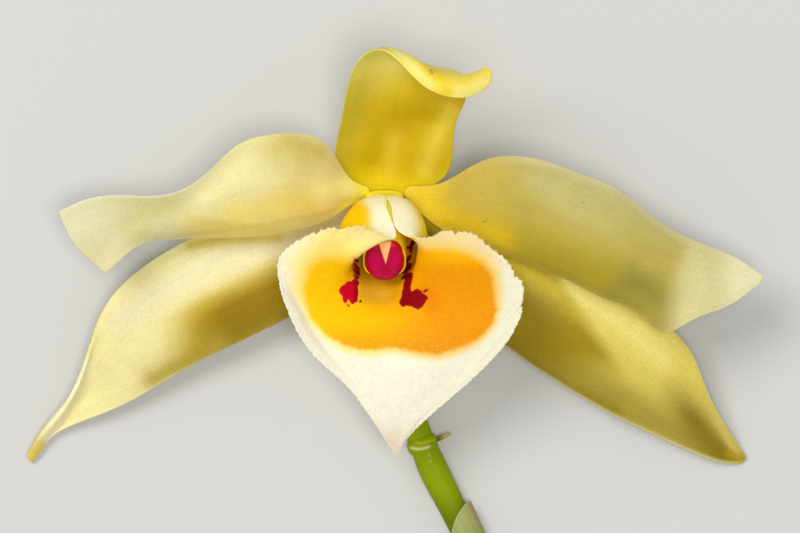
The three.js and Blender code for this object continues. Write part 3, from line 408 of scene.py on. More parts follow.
class Finish:
    """A procedural material, built up node by node."""

    def __init__(self, name, settings):
        self.material = bpy.data.materials.new(name)
        self.material.use_nodes = True
        self.tree = self.material.node_tree
        self.shader = self.tree.nodes["Principled BSDF"]
        for socket, value in settings.items():
            self.shader.inputs[socket].default_value = value
        self.place = self.add("ShaderNodeTexCoord").outputs["Object"]

    def add(self, kind, inputs=None, **settings):
        made = self.tree.nodes.new(kind)
        for key, value in settings.items():
            setattr(made, key, value)
        for key, value in (inputs or {}).items():
            if isinstance(value, bpy.types.NodeSocket):
                self.tree.links.new(value, made.inputs[key])
            else:
                made.inputs[key].default_value = value
        return made

    def mark(self, name):
        return self.add("ShaderNodeAttribute", attribute_name=name).outputs["Fac"]

    def mix(self, share, first, second, blend="MIX"):
        """Two tones mixed. A tone is a socket, or red, green and blue from 0 to 255."""
        first, second = (tone if isinstance(tone, bpy.types.NodeSocket) else colour(*tone)
                         for tone in (first, second))
        inputs = {0: share, 6: first, 7: second}
        return self.add("ShaderNodeMix", inputs, data_type="RGBA", blend_type=blend).outputs[2]

    def layered(self, base, layers):
        """The base tone under layers, each a mark's name and a tone."""
        for mark, tone, *_ in layers:
            base = self.mix(self.mark(mark), base, tone)
        return base

    def ramp(self, value, low, high, to_low=0.0, to_high=1.0):
        inputs = {"Value": value, "From Min": low, "From Max": high, "To Min": to_low, "To Max": to_high}
        return self.add("ShaderNodeMapRange", inputs, interpolation_type="SMOOTHSTEP").outputs["Result"]

    def sum(self, operation, first, second):
        return self.add("ShaderNodeMath", {0: first, 1: second}, operation=operation).outputs[0]

    def noise(self, size, detail):
        """Soft noise whose blots are about size mm wide."""
        inputs = {"Vector": self.place, "Scale": 1 / (size * MM), "Detail": detail}
        return self.add("ShaderNodeTexNoise", inputs).outputs["Fac"]

    def cells(self, size):
        """Rounded cells about size mm wide, 0 in the middle of each."""
        inputs = {"Vector": self.place, "Scale": 1 / (size * MM)}
        return self.add("ShaderNodeTexVoronoi", inputs).outputs["Distance"]

    def streaks(self, width, length):
        """Noise drawn out along the blade, from the two marks that measure it in mm."""
        inputs = {"X": self.sum("DIVIDE", self.mark("across"), width),
                  "Y": self.sum("DIVIDE", self.mark("along"), length)}
        vector = self.add("ShaderNodeCombineXYZ", inputs).outputs[0]
        made = self.add("ShaderNodeTexNoise", {"Vector": vector, "Scale": 1.0, "Detail": 2.0})
        return made.outputs["Fac"]

    def shade(self, base, value, low, high, darkest, lightest):
        """The base colour times a grey that follows the value."""
        grey = self.ramp(value, low, high, darkest, lightest)
        tone = self.add("ShaderNodeCombineXYZ", {"X": grey, "Y": grey, "Z": grey}).outputs[0]
        return self.mix(1.0, base, tone, "MULTIPLY")

    def finish(self, base, bumps):
        """Sets the colour, and bumps as (height, depth in mm) from the finest to the widest."""
        self.tree.links.new(base, self.shader.inputs["Base Color"])
        normal = None
        for height, depth in bumps:
            inputs = {"Height": height, "Distance": depth * MM, "Strength": 1.0}
            if normal:
                inputs["Normal"] = normal
            normal = self.add("ShaderNodeBump", inputs).outputs["Normal"]
        if normal:
            self.tree.links.new(normal, self.shader.inputs["Normal"])
        return self.material


def living(roughness, specular=0.25, subsurface=0.12):
    return {
        "Roughness": roughness,
        "Subsurface Weight": subsurface,
        "Subsurface Radius": (1.0, 0.8, 0.25),
        "Subsurface Scale": 0.5 * MM,
        "Specular IOR Level": specular,
    }


def tepal_finish(name, body, back, rim, layers, back_layers, roughness=0.46, glitter=0.022):
    """A sepal's or petal's skin: colour layers by mark, faint veins and a fine grain of cells."""
    made = Finish(name, living(roughness))
    base = made.layered(body, layers)
    base = made.mix(made.ramp(made.mark("reach"), 0.16, 0.04, 0.0, 0.2), base, rim)
    base = made.mix(made.mark("face"), made.layered(back, back_layers), base)
    veins = made.streaks(0.6, 11.0)
    mottle = made.noise(1.9, 3.0)
    cells = made.cells(0.14)
    fine = made.noise(0.1, 1.0)
    grain = made.noise(0.2, 1.0)
    base = made.shade(base, veins, 0.3, 0.7, 0.975, 1.015)
    base = made.shade(base, mottle, 0.3, 0.7, 0.97, 1.02)
    base = made.shade(base, fine, 0.3, 0.7, 0.95, 1.04)
    base = made.shade(base, grain, 0.35, 0.65, 1 - glitter, 1 + glitter)
    return made.finish(base, [(cells, 0.012), (fine, 0.014), (veins, 0.012)])


# Sepals and petals

TEPAL_ROWS = 130
TEPAL_COLUMNS = 44
TEPAL_ENDS = [0.0015, 0.005, 0.01, 0.017, 0.025]


def tepal(name, lines, front_is_face, slot, paint, tones, **grain):
    """One sepal or petal; paint gives the layers on its face and on its back: name, tone and strength."""
    along = close_to_ends(TEPAL_ROWS, TEPAL_ENDS)
    across = close_to_ends(TEPAL_COLUMNS, TEPAL_ENDS)
    middle = sheet(lines, along, across)
    skin = Skin(middle, TEPAL_THICKNESS)
    width = np.linalg.norm(middle[:, -1] - middle[:, 0], axis=1).max()
    length = np.linalg.norm(middle[-1, len(across) // 2] - middle[0, len(across) // 2])
    u, v = np.meshgrid(along, across, indexing="ij")
    marks = {
        "reach": skin.spread(skin.reach),
        "along": skin.spread(u * length),
        "across": skin.spread(v * width),
        "face": skin.face_mark(front_is_face),
    }
    layers, back_layers = paint(seen(middle), skin.reach)
    for mark, _, field in layers + back_layers:
        marks[mark] = skin.spread(np.clip(field, 0, 1))
    material = tepal_finish(name + "_skin", *tones, layers, back_layers, **grain)
    make_piece(name + "_blade", skin.points, skin.faces, marks, material, name)


def left_petal_layers(at, reach):
    x, y = at[..., 0], at[..., 1]
    # the line where the lower strip bends down, painted as a thin darker line of shade
    fold_shade = [(-19.4, 2.75), (-15, 3.4), (-11.5, 3.85), (-5.9, 4.95)]
    return [
        ("warm", (246, 224, 118), 0.9 * stroke(at, [(-6, 5.8), (-10, 5.3), (-14.5, 4.4)], 2.0)),
        # painted shade: a greenish tan tone on the upper hump of the blade
        ("olive_shade", (215, 201, 116), 0.8 * stroke(at, [(-8.6, 9.4), (-10.8, 9.8)], 1.5)),
        ("light", (232, 222, 161), 0.85 * stroke(at, [(-12.5, 7.6), (-15.5, 6.9), (-17.6, 5.7)], 1.5)),
        ("tip", (214, 207, 158), 0.95 * rise(x, -16.2, -21.5)),
        # painted shade: a grey-green band where the blade bends near its tip
        ("crease_shade", (200, 192, 120), 0.7 * stroke(at, [(-19.6, 5.3), (-21.8, 4.6), (-23, 3.2)], 1.5)),
        ("pale", (223, 218, 178), 0.7 * rise(x, -24, -28) * rise(y, 1.2, 3.4)),
        # painted shade: a deeper yellow on the lower strip, which turns down away from the light
        ("under", (228, 203, 94),
         0.75 * rise(y + 0.13 * x, 2.5, 1.7) * rise(x, -20.5, -17) * rise(x, -5, -8)),
        # painted shade: a thin darker line where the lower strip bends down
        ("fold_shade", (206, 180, 90), 0.3 * stroke(at, fold_shade, 0.28)),
        # painted shade near the upper margin
        ("upper_shade", (204, 182, 88), 0.75 * stroke(at, [(-9.8, 11.0), (-7.4, 10.0)], 1.05)),
        # painted light: a brighter patch near the base of the blade
        ("base_light", (255, 248, 172), stroke(at, [(-4.6, 7.0), (-6.6, 6.4)], 1.15)),
        ("base", (244, 230, 64),
         np.maximum(rise(x, -4.9, -3.1), rise(x, -6.2, -4.4) * rise(y - 0.5 * x, 9, 7.6))),
        ("edge", (236, 228, 196), 0.8 * rise(reach, 0.5, 0.1) * rise(x, -13, -16) * rise(y, 3.4, 5.4)),
    ], []


def right_petal_layers(at, reach):
    x, y = at[..., 0], at[..., 1]
    # the valley where the blade bends near its tip, painted darker as shade
    fold_shade = [(20.3, -1.3), (22, -2.2), (23, -3.6), (23.4, -5.3)]
    specks = np.maximum(1 - away(at, [(7.42, 4.0)]) / 0.16, 0.55 - away(at, [(15.9, 5.5)]) / 0.2)
    return [
        ("warm", (177, 158, 26), 0.9 * stroke(at, [(7, 2.6), (12, 0.9), (17.5, -1.0)], 2.1)),
        ("tan", (203, 181, 80), 0.9 * rise(x, 11.5, 5.5)),
        ("gold", (228, 194, 6), 0.85 * stroke(at, [(3.6, 4.2), (6.4, 3.3), (8.8, 2.4)], 1.35)),
        ("base", (228, 201, 52), rise(x, 5.6, 2.4)),
        ("cool", (191, 182, 120), 0.75 * rise(x, 8, 14.5) * rise(y + 0.35 * x, 8.4, 12.0)),
        ("edge", (206, 198, 148),
         0.6 * rise(reach, 1.3, 0.2) * rise(x, 5, 12) * rise(y + 0.6 * x, 9.5, 11)),
        # painted shade in the valley of the bend
        ("fold_shade", (140, 127, 48), 0.6 * rise(x, 24.9, 23.9) * stroke(at, fold_shade, 1.5)),
        ("shade", (156, 141, 42), 0.6 * stroke(at, [(18.6, -2.4), (20.6, -3.6)], 1.1)),
        ("tip", (211, 203, 144), 0.95 * rise(x - 0.12 * y, 22.6, 26) * rise(x - 0.5 * y, 22.6, 25.2)),
        ("pale", (236, 231, 188), 0.9 * rise(x, 26.8, 30.2)),
        ("speck", (110, 84, 20), specks),
    ], []


def left_sepal_layers(at, reach):
    x, y = at[..., 0], at[..., 1]
    # a line across the lower side of the blade, which turns down towards the lip, to place the painted shade
    fall = y - 0.508 * x
    # painted highlight: a whitish gloss along the upper middle of the blade
    sheen_highlight = [(-6, 2.9), (-12.5, 1.6), (-17.5, -0.2), (-21.5, -2.8), (-24, -4.4)]
    strip = [(-29.3, -10.7), (-30.4, -12.0), (-31.4, -13.3), (-32.1, -14.8)]
    ridge = [(-27.3, -8.6), (-28.3, -11), (-29.5, -13), (-30.7, -14.7)]
    return [
        # painted shade on the lower side: a lighter outer band, a dark core, and shaded tones along the
        # lower edge
        ("gold", (202, 174, 36), 0.95 * rise(fall, 7.2, 5.3) * rise(x, -21.8, -17.2)),
        ("shade", (150, 119, 0), 0.92 * rise(fall, 6.1, 3.9) * rise(x, -19.8, -15.2)),
        ("keel_shade", (178, 152, 26), 0.6 * stroke(at, [(-11, -5), (-14.5, -6.8), (-17, -7.9)], 0.75)),
        ("low", (188, 164, 54), 0.85 * stroke(at, [(-15.8, -6.9), (-18.8, -8.4), (-21.4, -9.7)], 1.15)),
        # painted highlight along the upper middle
        ("sheen_highlight", (231, 222, 174), stroke(at, sheen_highlight, 1.5)),
        # painted shadow of the left petal, along the upper margin
        ("olive_shade", (214, 190, 66), 0.85 * stroke(at, [(-10.6, 2.5), (-14.6, 2.4), (-18.2, 1.9)], 0.5)),
        ("grey", (214, 204, 162), 0.7 * rise(x, -8.6, -5.5) * rise(y, 1.0, 3.0)),
        ("strip", (178, 150, 34), 0.9 * stroke(at, strip, 0.42)),
        ("tip", (226, 202, 98), rise(x, -30.2, -31.4)),
        ("ridge", (248, 240, 190), stroke(at, ridge, 0.6)),
        ("rim_light", (232, 226, 176),
         0.5 * rise(reach, 0.34, 0.08) * rise(y, -6.5, -9.5) * rise(x, -30, -28.5)),
    ], []


def right_sepal_layers(at, reach):
    x, y = at[..., 0], at[..., 1]
    fall = y + 0.62 * x
    shadow = rise(0.802 * x + 0.596 * y, 10.9, 9.3) * rise(y, -10.4, -7)
    # painted highlight: a lit band beside the petal's shadow
    light = [(14.5, -1.7), (17.6, -3.6), (20.5, -5.9), (22.6, -7.8)]
    # the darkest, lower-left part of the painted shadow
    under = [(9, -6.6), (11.4, -8.4), (14.5, -10.5), (18.5, -12.5)]
    # a dark stroke towards the tip, painted shade beside the rolled ridge
    tip = [(23.8, -10), (25.4, -13.2), (27, -15.3), (28.4, -16.6)]
    ridge = [(25.9, -8.7), (26.7, -11), (27.7, -13.3), (29.3, -16.1)]
    return [
        # painted shade on the lower side of the blade
        ("low", (164, 147, 50), 0.95 * rise(fall, 3.6, 0.4)),
        # painted highlight beside the petal's shadow
        ("light", (233, 218, 122), 0.95 * stroke(at, light, 1.2)),
        ("shade", (158, 133, 0), 0.97 * shadow),
        # painted shadow, lighter near the petal's edge
        ("gold", (206, 182, 0), 0.95 * shadow * rise(fall, 3.8, 6.6)),
        # painted shadow, darkest towards the lower left
        ("under", (146, 124, 14), 0.85 * stroke(at, under, 0.8)),
        # dark towards the tip, with painted shade beside the rolled ridge
        ("tip", (130, 110, 6), 0.95 * rise(y, -8.4, -13.6) * stroke(at, tip, 1.6)),
        ("ridge", (214, 194, 98), 0.9 * stroke(at, ridge, 0.42)),
        ("end", (172, 149, 4), 0.8 * stroke(at, [(28.6, -16.2), (29.6, -17)], 0.5)),
        ("rim_light", (210, 198, 132), 0.8 * rise(reach, 0.36, 0.08) * rise(fall, 2, 0)),
    ], []


def dorsal_layers(at, reach):
    """The hood's face is a deep yellow, with painted shade in its hollow and painted light on its upper part
    and right wall; its back, rolled forward at the top, is bright yellow.
    """
    x, y = at[..., 0], at[..., 1]
    # lighter stripes, mostly on the hood's right wall, which faces the light: painted light
    streaks = np.maximum(stroke(at, [(2.2, 8.6), (3.1, 11), (4.5, 13.6)], 0.85),
                         0.45 * stroke(at, [(-1.0, 8.4), (-0.6, 11.4)], 0.8))
    band = np.maximum(stroke(at, [(-0.4, 18.5), (0.8, 17.6), (1.9, 16.7), (2.6, 15.8)], 0.5),
                      stroke(at, [(4.9, 14.9), (6, 14.9), (7.4, 15.9)], 0.7))
    return [
        # painted shade in the hollow of the hood, under its rolled top
        ("ochre_shade", (209, 174, 0), stroke(at, [(0.2, 13.0), (2.2, 14.2), (3.9, 13.8)], 2.1)),
        ("gold", (204, 174, 0), 0.8 * stroke(at, [(-2.6, 9.4), (-1.4, 11.6)], 1.5)),
        # painted light: the upper left and the top of the face are lighter
        ("pale", (234, 218, 100), 0.95 * rise(y - 0.3 * x, 14.6, 18.8) * rise(x, 3, -1)),
        # painted light on the top of the face
        ("crown_light", (248, 236, 112), 0.8 * rise(y, 16.4, 18.6)),
        ("left", (206, 187, 48), 0.75 * stroke(at, [(-4.8, 10), (-3.9, 15.2)], 1.1)),
        ("base", (232, 206, 22), rise(y, 9.6, 7.2)),
        # painted light along those stripes
        ("streak_light", (246, 220, 76), 0.85 * streaks),
    ], [
        ("roll", (240, 216, 74), rise(x, -1.9, -0.9)),
        ("roll_low", (246, 231, 132), 0.9 * band),
        ("roll_deep", (236, 206, 40), 0.9 * stroke(at, [(2.3, 17.1), (3.5, 16.3), (4.1, 15.3)], 0.6)),
        ("hook", (232, 200, 30), 0.6 * stroke(at, [(6.1, 16.6), (6.8, 17.1)], 0.3)),
        ("dot", (164, 120, 10), rise(away(at, [(2.64, 16.8)]), 0.22, 0.06)),
    ]


# The lip

MARGIN_SHARE = 0.16
BOWL_STARTS = 0.42
BUMP_LIFT = 0.3
BUMP_ROUND = 0.7
RIPPLE = 0.62
RIPPLE_DEPTH = 0.07
MARGIN_OPENS = (0.3, 0.36)
# Dips along both margins from the column to the tip, each with the height of the bump after it
LEFT_BUMPS = [
    (-2.86, 3.18, 0.42), (-5.18, 3.21, 0.4), (-7.21, 2.76, 0.16), (-8.45, 2.38, 0.1), (-9.35, 1.78, 0.22),
    (-10.3, -1.37, 0.34), (-9.9, -3.9, 0.12), (-9.25, -5.1, 0.1), (-8.4, -6.4, 0.08), (-7.6, -7.6, 0.1),
    (-6.85, -8.4, 0.08), (-5.9, -9.3, 0.09), (-4.85, -10.2, 0.08), (-3.9, -11.3, 0.07), (-2.6, -13.2, 0),
]
RIGHT_BUMPS = [
    (2.3, 2.6, 0.03), (2.99, 2.64, 0.38), (4.81, 2.8, 0.4), (7.6, 1.95, 0.04), (8.35, 1.2, 0.26),
    (10.2, -0.83, 0.62), (10.52, -3.49, 0.42), (10.08, -5.4, 0.1), (8.9, -7.0, 0.1), (7.6, -8.4, 0.07),
    (6.2, -9.8, 0.08), (4.7, -11.2, 0.06), (3.2, -12.4, 0.05), (1.6, -14, 0),
]
LIP_ROWS = (66, 222)
LIP_COLUMNS = 142
LIP_ENDS = [0.0008, 0.0025, 0.005, 0.009, 0.014]

# The orange disc's outline, the throat's floor, and the red marks on both sides of it
DISC = [
    (-8.56, -0.03), (-8.88, -2.13), (-8.0, -4.38), (-6.55, -5.99), (-4.94, -6.95), (-3.49, -7.4),
    (-2.2, -7.42), (-0.91, -7.2), (0.37, -7.35), (1.65, -7.65), (3.1, -7.8), (4.23, -7.52), (5.51, -7.11),
    (6.96, -6.3), (8.09, -5.17), (8.57, -3.74), (8.5, -2.13), (8.25, -0.52), (7.44, 0.61), (6.16, 1.3),
    (4.55, 1.75), (2.78, 1.8), (1.5, 1.85), (1.2, 3.4), (0.5, 3.2), (0.1, 0.9), (-2.6, 0.5), (-3.7, 1.1),
    (-5.1, 1.5), (-6.87, 1.4), (-8.0, 0.9),
]
THROAT = [
    (-3.75, 1.6), (-3.7, -0.6), (-3.65, -2.9), (-2.4, -3.35), (-0.6, -3.35), (0.2, -3.0), (0.45, -1),
    (0.5, 3), (-3.75, 3),
]
RIGHT_SHADE = [
    (0.72, 2.5), (1.02, 2.53), (1.34, 2.17), (1.4, 2.0), (1.25, 1.77), (1.17, 1.43), (1.04, 1.0),
    (0.9, 0.85), (0.3, 0.8), (0.3, 2.3),
]
RIGHT_RED = [
    [(1.34, 2.17), (1.4, 2.0), (1.25, 1.77), (1.17, 1.43), (1.06, 1.1), (0.94, 1.25), (0.98, 1.7),
     (1.1, 2.1)],
    [(0.56, 1.4), (0.98, 1.6), (0.96, 1.7), (0.54, 1.52)],
    [(1.04, 0.9), (1.06, 0.75), (0.83, 0.33), (0.51, 0.1), (0.51, 0.29), (0.83, 0.75)],
    [(1.08, 0.16), (1.04, -0.22), (0.62, -0.68), (0.24, -0.7), (0.24, -0.51), (0.47, -0.3), (0.79, 0.12)],
    [(1.23, -0.64), (1.17, -1.14), (0.98, -1.75), (1.02, -2.2), (1.17, -2.28), (1.42, -2.07), (1.63, -2.01),
     (1.84, -2.11), (2.05, -2.41), (2.35, -2.56), (2.48, -2.75), (2.26, -3.0), (2.1, -3.25), (1.97, -3.51),
     (1.63, -3.72), (1.34, -3.59), (1.08, -3.46), (0.62, -3.42), (0.24, -3.55), (0.03, -3.21), (0.28, -2.7),
     (0.32, -2.28), (0.47, -1.95), (0.45, -1.65), (0.62, -1.35), (0.58, -1.06), (0.28, -1.21), (0.24, -1.14),
     (0.62, -0.81)],
    [(2.12, -2.26), (2.16, -2.14), (2.44, -1.97), (2.46, -2.08)],
]
LEFT_RED = [
    [(-4.05, 0.95), (-3.78, 0.7), (-3.76, 0.4), (-3.98, 0.3), (-4.1, 0.5)],
    [(-4.2, 0.2), (-3.95, 0.12), (-3.8, -0.1), (-3.62, -0.3), (-3.62, -0.45), (-3.9, -0.35), (-4.1, -0.1)],
    [(-4.28, -0.2), (-4.0, -0.35), (-3.62, -0.62), (-3.6, -0.85), (-3.85, -0.8), (-4.1, -0.62)],
    [(-4.22, -0.72), (-3.95, -0.85), (-3.66, -1.0), (-3.72, -1.12), (-4.05, -1.08)],
    [(-4.18, -1.14), (-3.93, -1.18), (-3.67, -1.48), (-3.84, -1.69), (-3.76, -2.2), (-3.78, -2.53),
     (-3.84, -2.83), (-3.8, -3.04), (-4.05, -3.19), (-4.18, -3.33), (-4.39, -3.21), (-4.5, -2.88),
     (-4.68, -2.94), (-4.81, -3.21), (-5.04, -3.04), (-5.06, -2.58), (-5.28, -2.36), (-5.42, -2.03),
     (-5.19, -1.69), (-4.94, -1.56), (-4.73, -1.29), (-4.35, -1.31)],
]
LEFT_SPECKS = [(-3.53, -3.1, 0.1), (-4.58, -3.42, 0.08), (-3.78, 0.29, 0.07)]
DOME_AMBER = [
    (-5.6, 2.6), (-5.5, 3.6), (-4.9, 4.6), (-4.1, 5.2), (-3.1, 5.3), (-2.6, 4.8), (-2.6, 4.1),
    (-2.9, 3.4), (-4.1, 2.6),
]
LEFT_GROOVE_EDGE = [(-1.25, 6.2), (-1.17, 5.46), (-1.08, 5.09), (-0.95, 4.71), (-0.78, 4.33), (-0.66, 4.03)]


def reds(places, outlines):
    """Distance inside the nearest of several outlines, below 0 outside them all."""
    return np.maximum.reduce([within(places, outline) for outline in outlines])


def dots(places, spots):
    """Distance inside the nearest of several round spots, below 0 outside them all."""
    return np.maximum.reduce([radius - away(places, [(x, y)]) for x, y, radius in spots])


def along_margin(line):
    """Distance along a margin, from its first point."""
    return np.concatenate([[0], np.linalg.norm(np.diff(line, axis=0), axis=1).cumsum()])


def margin_waves(line, bumps):
    """Rounded bumps between dips, and a fine ripple, for each point of a margin."""
    length = along_margin(line)
    places = seen(line)
    stops = [length[away(places, [(x, y)]).argmin()] for x, y, _ in bumps]
    bump = np.zeros_like(length)
    for start, end, (_, _, height) in zip(stops[:-1], stops[1:], bumps):
        bump += height * np.sin(np.pi * np.clip((length - start) / (end - start), 0, 1)) ** BUMP_ROUND
    ripple = np.sin(2 * np.pi * length / RIPPLE + 1.7 * np.sin(length / 0.7))
    return bump, ripple


def lip_grid():
    """The lip's middle sheet, with its margin waved where the bowl is open."""
    before = np.linspace(0.014, BOWL_STARTS, LIP_ROWS[0], endpoint=False)
    after = np.linspace(BOWL_STARTS, 0.992, LIP_ROWS[1])
    along = np.concatenate([[0, 0.003, 0.007], before, after, [0.9965, 0.9985, 1]])
    across = close_to_ends(LIP_COLUMNS, LIP_ENDS)
    middle = sheet(np.array(LIP_RIBS, float).transpose(1, 0, 2), along, across)
    u, v = np.meshgrid(along, across, indexing="ij")
    near = np.clip(1 - (1 - np.abs(2 * v - 1)) / MARGIN_SHARE, 0, 1) ** 2
    opened = near * rise(u, *MARGIN_OPENS) * rise(u, 1.0, 0.97)
    side = np.gradient(middle, axis=1)
    outward = side / np.linalg.norm(side, axis=2, keepdims=True) * np.sign(v - 0.5)[..., None]
    margins = zip(margin_waves(middle[:, 0], LEFT_BUMPS), margin_waves(middle[:, -1], RIGHT_BUMPS))
    bump, ripple = (np.where(v < 0.5, left[:, None], right[:, None]) for left, right in margins)
    out = opened * (bump + near * RIPPLE_DEPTH * ripple)
    grid = middle + BUMP_LIFT * (opened * bump)[..., None] * normals(middle) + out[..., None] * outward
    return grid, u, v


def paint_lip(at, height, u, v):
    x, y = at[..., 0], at[..., 1]
    margin = np.minimum(v, 1 - v)
    throat = within(at, THROAT)
    low = rise(height, 12.6, 11.4)
    soft = 0.35 + 0.9 * rise(y, -4.5, 0.5) * rise(x, 1.5, -2)
    soft += 0.1 * rise(x, -6, -8.5) + 0.12 * rise(y, -5.5, -7)
    soft += 0.3 * rise(y, -0.5, 1) * rise(x, -3.5, -5) + 0.35 * rise(y, -1, 1) * rise(x, 1, 2)
    soft += 0.35 * rise(x, 5.5, 8.5) * rise(y, -5, -1)
    return {
        "disc": within(at, DISC),
        "soft": soft,
        "warm": rise(x, -4.5, 4.5),
        "side": 0.8 * rise(x + 0.45 * np.maximum(-6 - y, 0), 1, 7),
        "top": 0.8 * rise(y, -0.6, 1.4) * rise(x, 0.8, 2.5),
        "hot": 0.7 * stroke(at, [(2.5, -2.2), (2.9, -3.3)], 0.8),
        "deep": rise(y, -4.6, -7.4),
        # the throat's floor: partly its own greenish cream, partly painted shade under the column and the
        # cap
        "throat": rise(throat, -0.5, 0.75) * low,
        "patch": 0.9 * stroke(at, [(-2.9, -2.3), (-1.5, -2.5)], 0.8) * low,
        "right_shade": within(at, RIGHT_SHADE) * low + low - 1,
        "right_red": reds(at, RIGHT_RED),
        "left_red": np.maximum(reds(at, LEFT_RED), dots(at, LEFT_SPECKS)),
        "left_dark": rise(x, -4.35, -3.75),
        "blush": rise(y, -12.3, -15.8),
        "peach": rise(y, 0.6, 2.6) * rise(margin, 0.2, 0.02) * rise(x, 0.8, 1.6),
        "flap": rise(y, -0.2, 2.4) * rise(x, -0.3, -1.0) * rise(x, -9.4, -5.8),
        "dome_white": rise(away(at, [(-1.3, 5.9), (-0.4, 3.4)]), 2.5, 1.3),
        "dome_orange": rise(within(at, DOME_AMBER), -0.55, 0.5),
        "dome_right": rise(x, 1.5, 2.3),
        "groove": stroke(at, LEFT_GROOVE_EDGE, 0.14),
        "dome": rise(u, 0.44, 0.38),
    }


def lip_finish():
    """Velvety: cream with an orange disc on the inside, and a white-cream dome with orange sides behind."""
    made = Finish("lip_velvet", living(0.6, 0.1, 0.08))
    edge_noise = made.noise(0.5, 3.0)
    fine = made.noise(0.1, 1.0)
    cells = made.cells(0.15)
    wobble = made.ramp(edge_noise, 0.25, 0.75, -0.1, 0.1)
    disc = made.sum("ADD", made.mark("disc"), wobble)
    share = made.sum("DIVIDE", disc, made.mark("soft"))
    body = made.layered((245, 241, 217), [("side", (231, 228, 202)), ("blush", (228, 210, 186)),
                                          ("peach", (242, 216, 158)), ("flap", (251, 229, 148))])
    halo = made.mix(made.mark("warm"), (255, 230, 112), (240, 202, 92))
    body = made.mix(made.sum("MULTIPLY", made.ramp(share, -1.6, 0.2), 0.9), body, halo)
    left_to_right = made.mix(made.mark("warm"), (255, 201, 2), (234, 150, 0))
    grains = made.ramp(made.noise(0.2, 2.0), 0.55, 0.68, 0.0, 0.5)
    deep = made.mix(grains, (226, 146, 2), (250, 190, 70))
    orange = made.mix(made.sum("MULTIPLY", made.mark("deep"), 0.75), left_to_right, deep)
    orange = made.layered(orange, [("top", (254, 190, 4)), ("hot", (228, 128, 0))])
    body = made.mix(made.ramp(share, -0.25, 0.85), body, orange)
    # the throat's floor, deepened with painted shade, and a lighter patch on it
    body = made.layered(body, [("throat", (218, 162, 0)), ("patch", (232, 178, 50))])
    body = made.mix(made.ramp(made.mark("right_shade"), -0.03, 0.06), body, (255, 160, 4))
    tear = made.ramp(made.noise(0.09, 2.0), 0.25, 0.75, -0.05, 0.05)
    left = made.ramp(made.sum("ADD", made.mark("left_red"), tear), -0.08, 0.0)
    right = made.ramp(made.sum("ADD", made.mark("right_red"), tear), -0.11, -0.03)
    body = made.mix(left, body, made.mix(made.mark("left_dark"), (212, 0, 44), (132, 2, 34)))
    body = made.mix(right, body, (142, 0, 12))
    outside = made.mix(made.mark("dome"), (250, 244, 206), (250, 216, 60))
    for mark, layer in [("dome_white", (255, 249, 216)), ("dome_orange", (255, 206, 4)),
                        ("dome_right", (255, 226, 40)), ("groove", (246, 230, 110))]:
        outside = made.mix(made.sum("MULTIPLY", made.mark("dome"), made.mark(mark)), outside, layer)
    base = made.mix(made.mark("face"), outside, body)
    base = made.shade(base, fine, 0.3, 0.7, 0.95, 1.05)
    base = made.shade(base, edge_noise, 0.3, 0.7, 0.97, 1.03)
    return made.finish(base, [(cells, 0.016), (fine, 0.018)])


def lip():
    grid, u, v = lip_grid()
    skin = Skin(grid, LIP_THICKNESS)
    marks = {"face": skin.face_mark(True)}
    for mark, field in paint_lip(seen(grid), grid[..., 2], u, v).items():
        marks[mark] = skin.spread(field)
    make_piece("lip_sheet", skin.points, skin.faces, marks, lip_finish(), "lip")
    fringe(grid, u)


TOOTH_SPACING = 0.085
TOOTH_LENGTH = (0.05, 0.15)
TOP_TOOTH_TIMES = 1.25
TOP_STARTS = 1.0
TOOTH_WIDTH = 0.055
TOOTH_SUNK = 0.1
TOOTH_JITTER = 0.4
TOOTH_LEAN = 0.3
TOOTH_UNEVEN = (0.8, 1.25)
TOOTH_HALFWAY = 0.45
TOOTH_TAPER = 0.6
TOOTH_SIDES = 4


def fringe(grid, u):
    """Small pointed teeth along both margins of the open bowl, as one piece."""
    draw = np.random.default_rng(SEED)
    points, faces = [], []
    turns = 2 * np.pi * np.arange(TOOTH_SIDES) / TOOTH_SIDES
    rows = np.flatnonzero(u[:, 0] > MARGIN_OPENS[0])
    for edge, inner in ((0, 3), (-1, -4)):
        line = grid[rows, edge]
        length = along_margin(line)
        places = np.arange(0, length[-1], TOOTH_SPACING)
        places = places + draw.uniform(-TOOTH_JITTER, TOOTH_JITTER, len(places)) * TOOTH_SPACING
        for place in places:
            row = int(np.clip(np.searchsorted(length, place), 1, len(rows) - 1))
            root = line[row]
            out = root - grid[rows[row], inner]
            out /= np.linalg.norm(out)
            along = line[row] - line[row - 1]
            along /= np.linalg.norm(along)
            up = np.cross(out, along)
            longer = TOP_TOOTH_TIMES if root[1] + MIDDLE[1] > TOP_STARTS else 1.0
            reach = draw.uniform(*TOOTH_LENGTH) * longer
            tip = out + along * draw.normal(0, TOOTH_LEAN) + up * draw.normal(0, TOOTH_LEAN)
            width = TOOTH_WIDTH * draw.uniform(*TOOTH_UNEVEN)
            start = len(points)
            halfway = root + tip * reach * TOOTH_HALFWAY
            for centre, size in ((root - out * TOOTH_SUNK, width), (halfway, TOOTH_TAPER * width)):
                points.extend(centre + size * (along * np.cos(turn) + up * np.sin(turn)) for turn in turns)
            points.append(root + tip * reach)
            first = start + np.arange(TOOTH_SIDES)
            second = first + TOOTH_SIDES
            for turn in range(TOOTH_SIDES):
                after = (turn + 1) % TOOTH_SIDES
                faces.append([first[turn], first[after], second[after], second[turn]])
                faces.append([second[turn], second[after], start + 2 * TOOTH_SIDES])
            faces.append(list(first[::-1]))
    made = Finish("fringe_velvet", living(0.6, 0.1, 0.08))
    base = made.mix(made.noise(1.2, 2.0), (255, 248, 214), (253, 242, 200))
    material = made.finish(base, [(made.noise(0.08, 1.0), 0.01)])
    make_piece("lip_fringe", points, faces, {}, material, "lip")


# The column and the anther cap

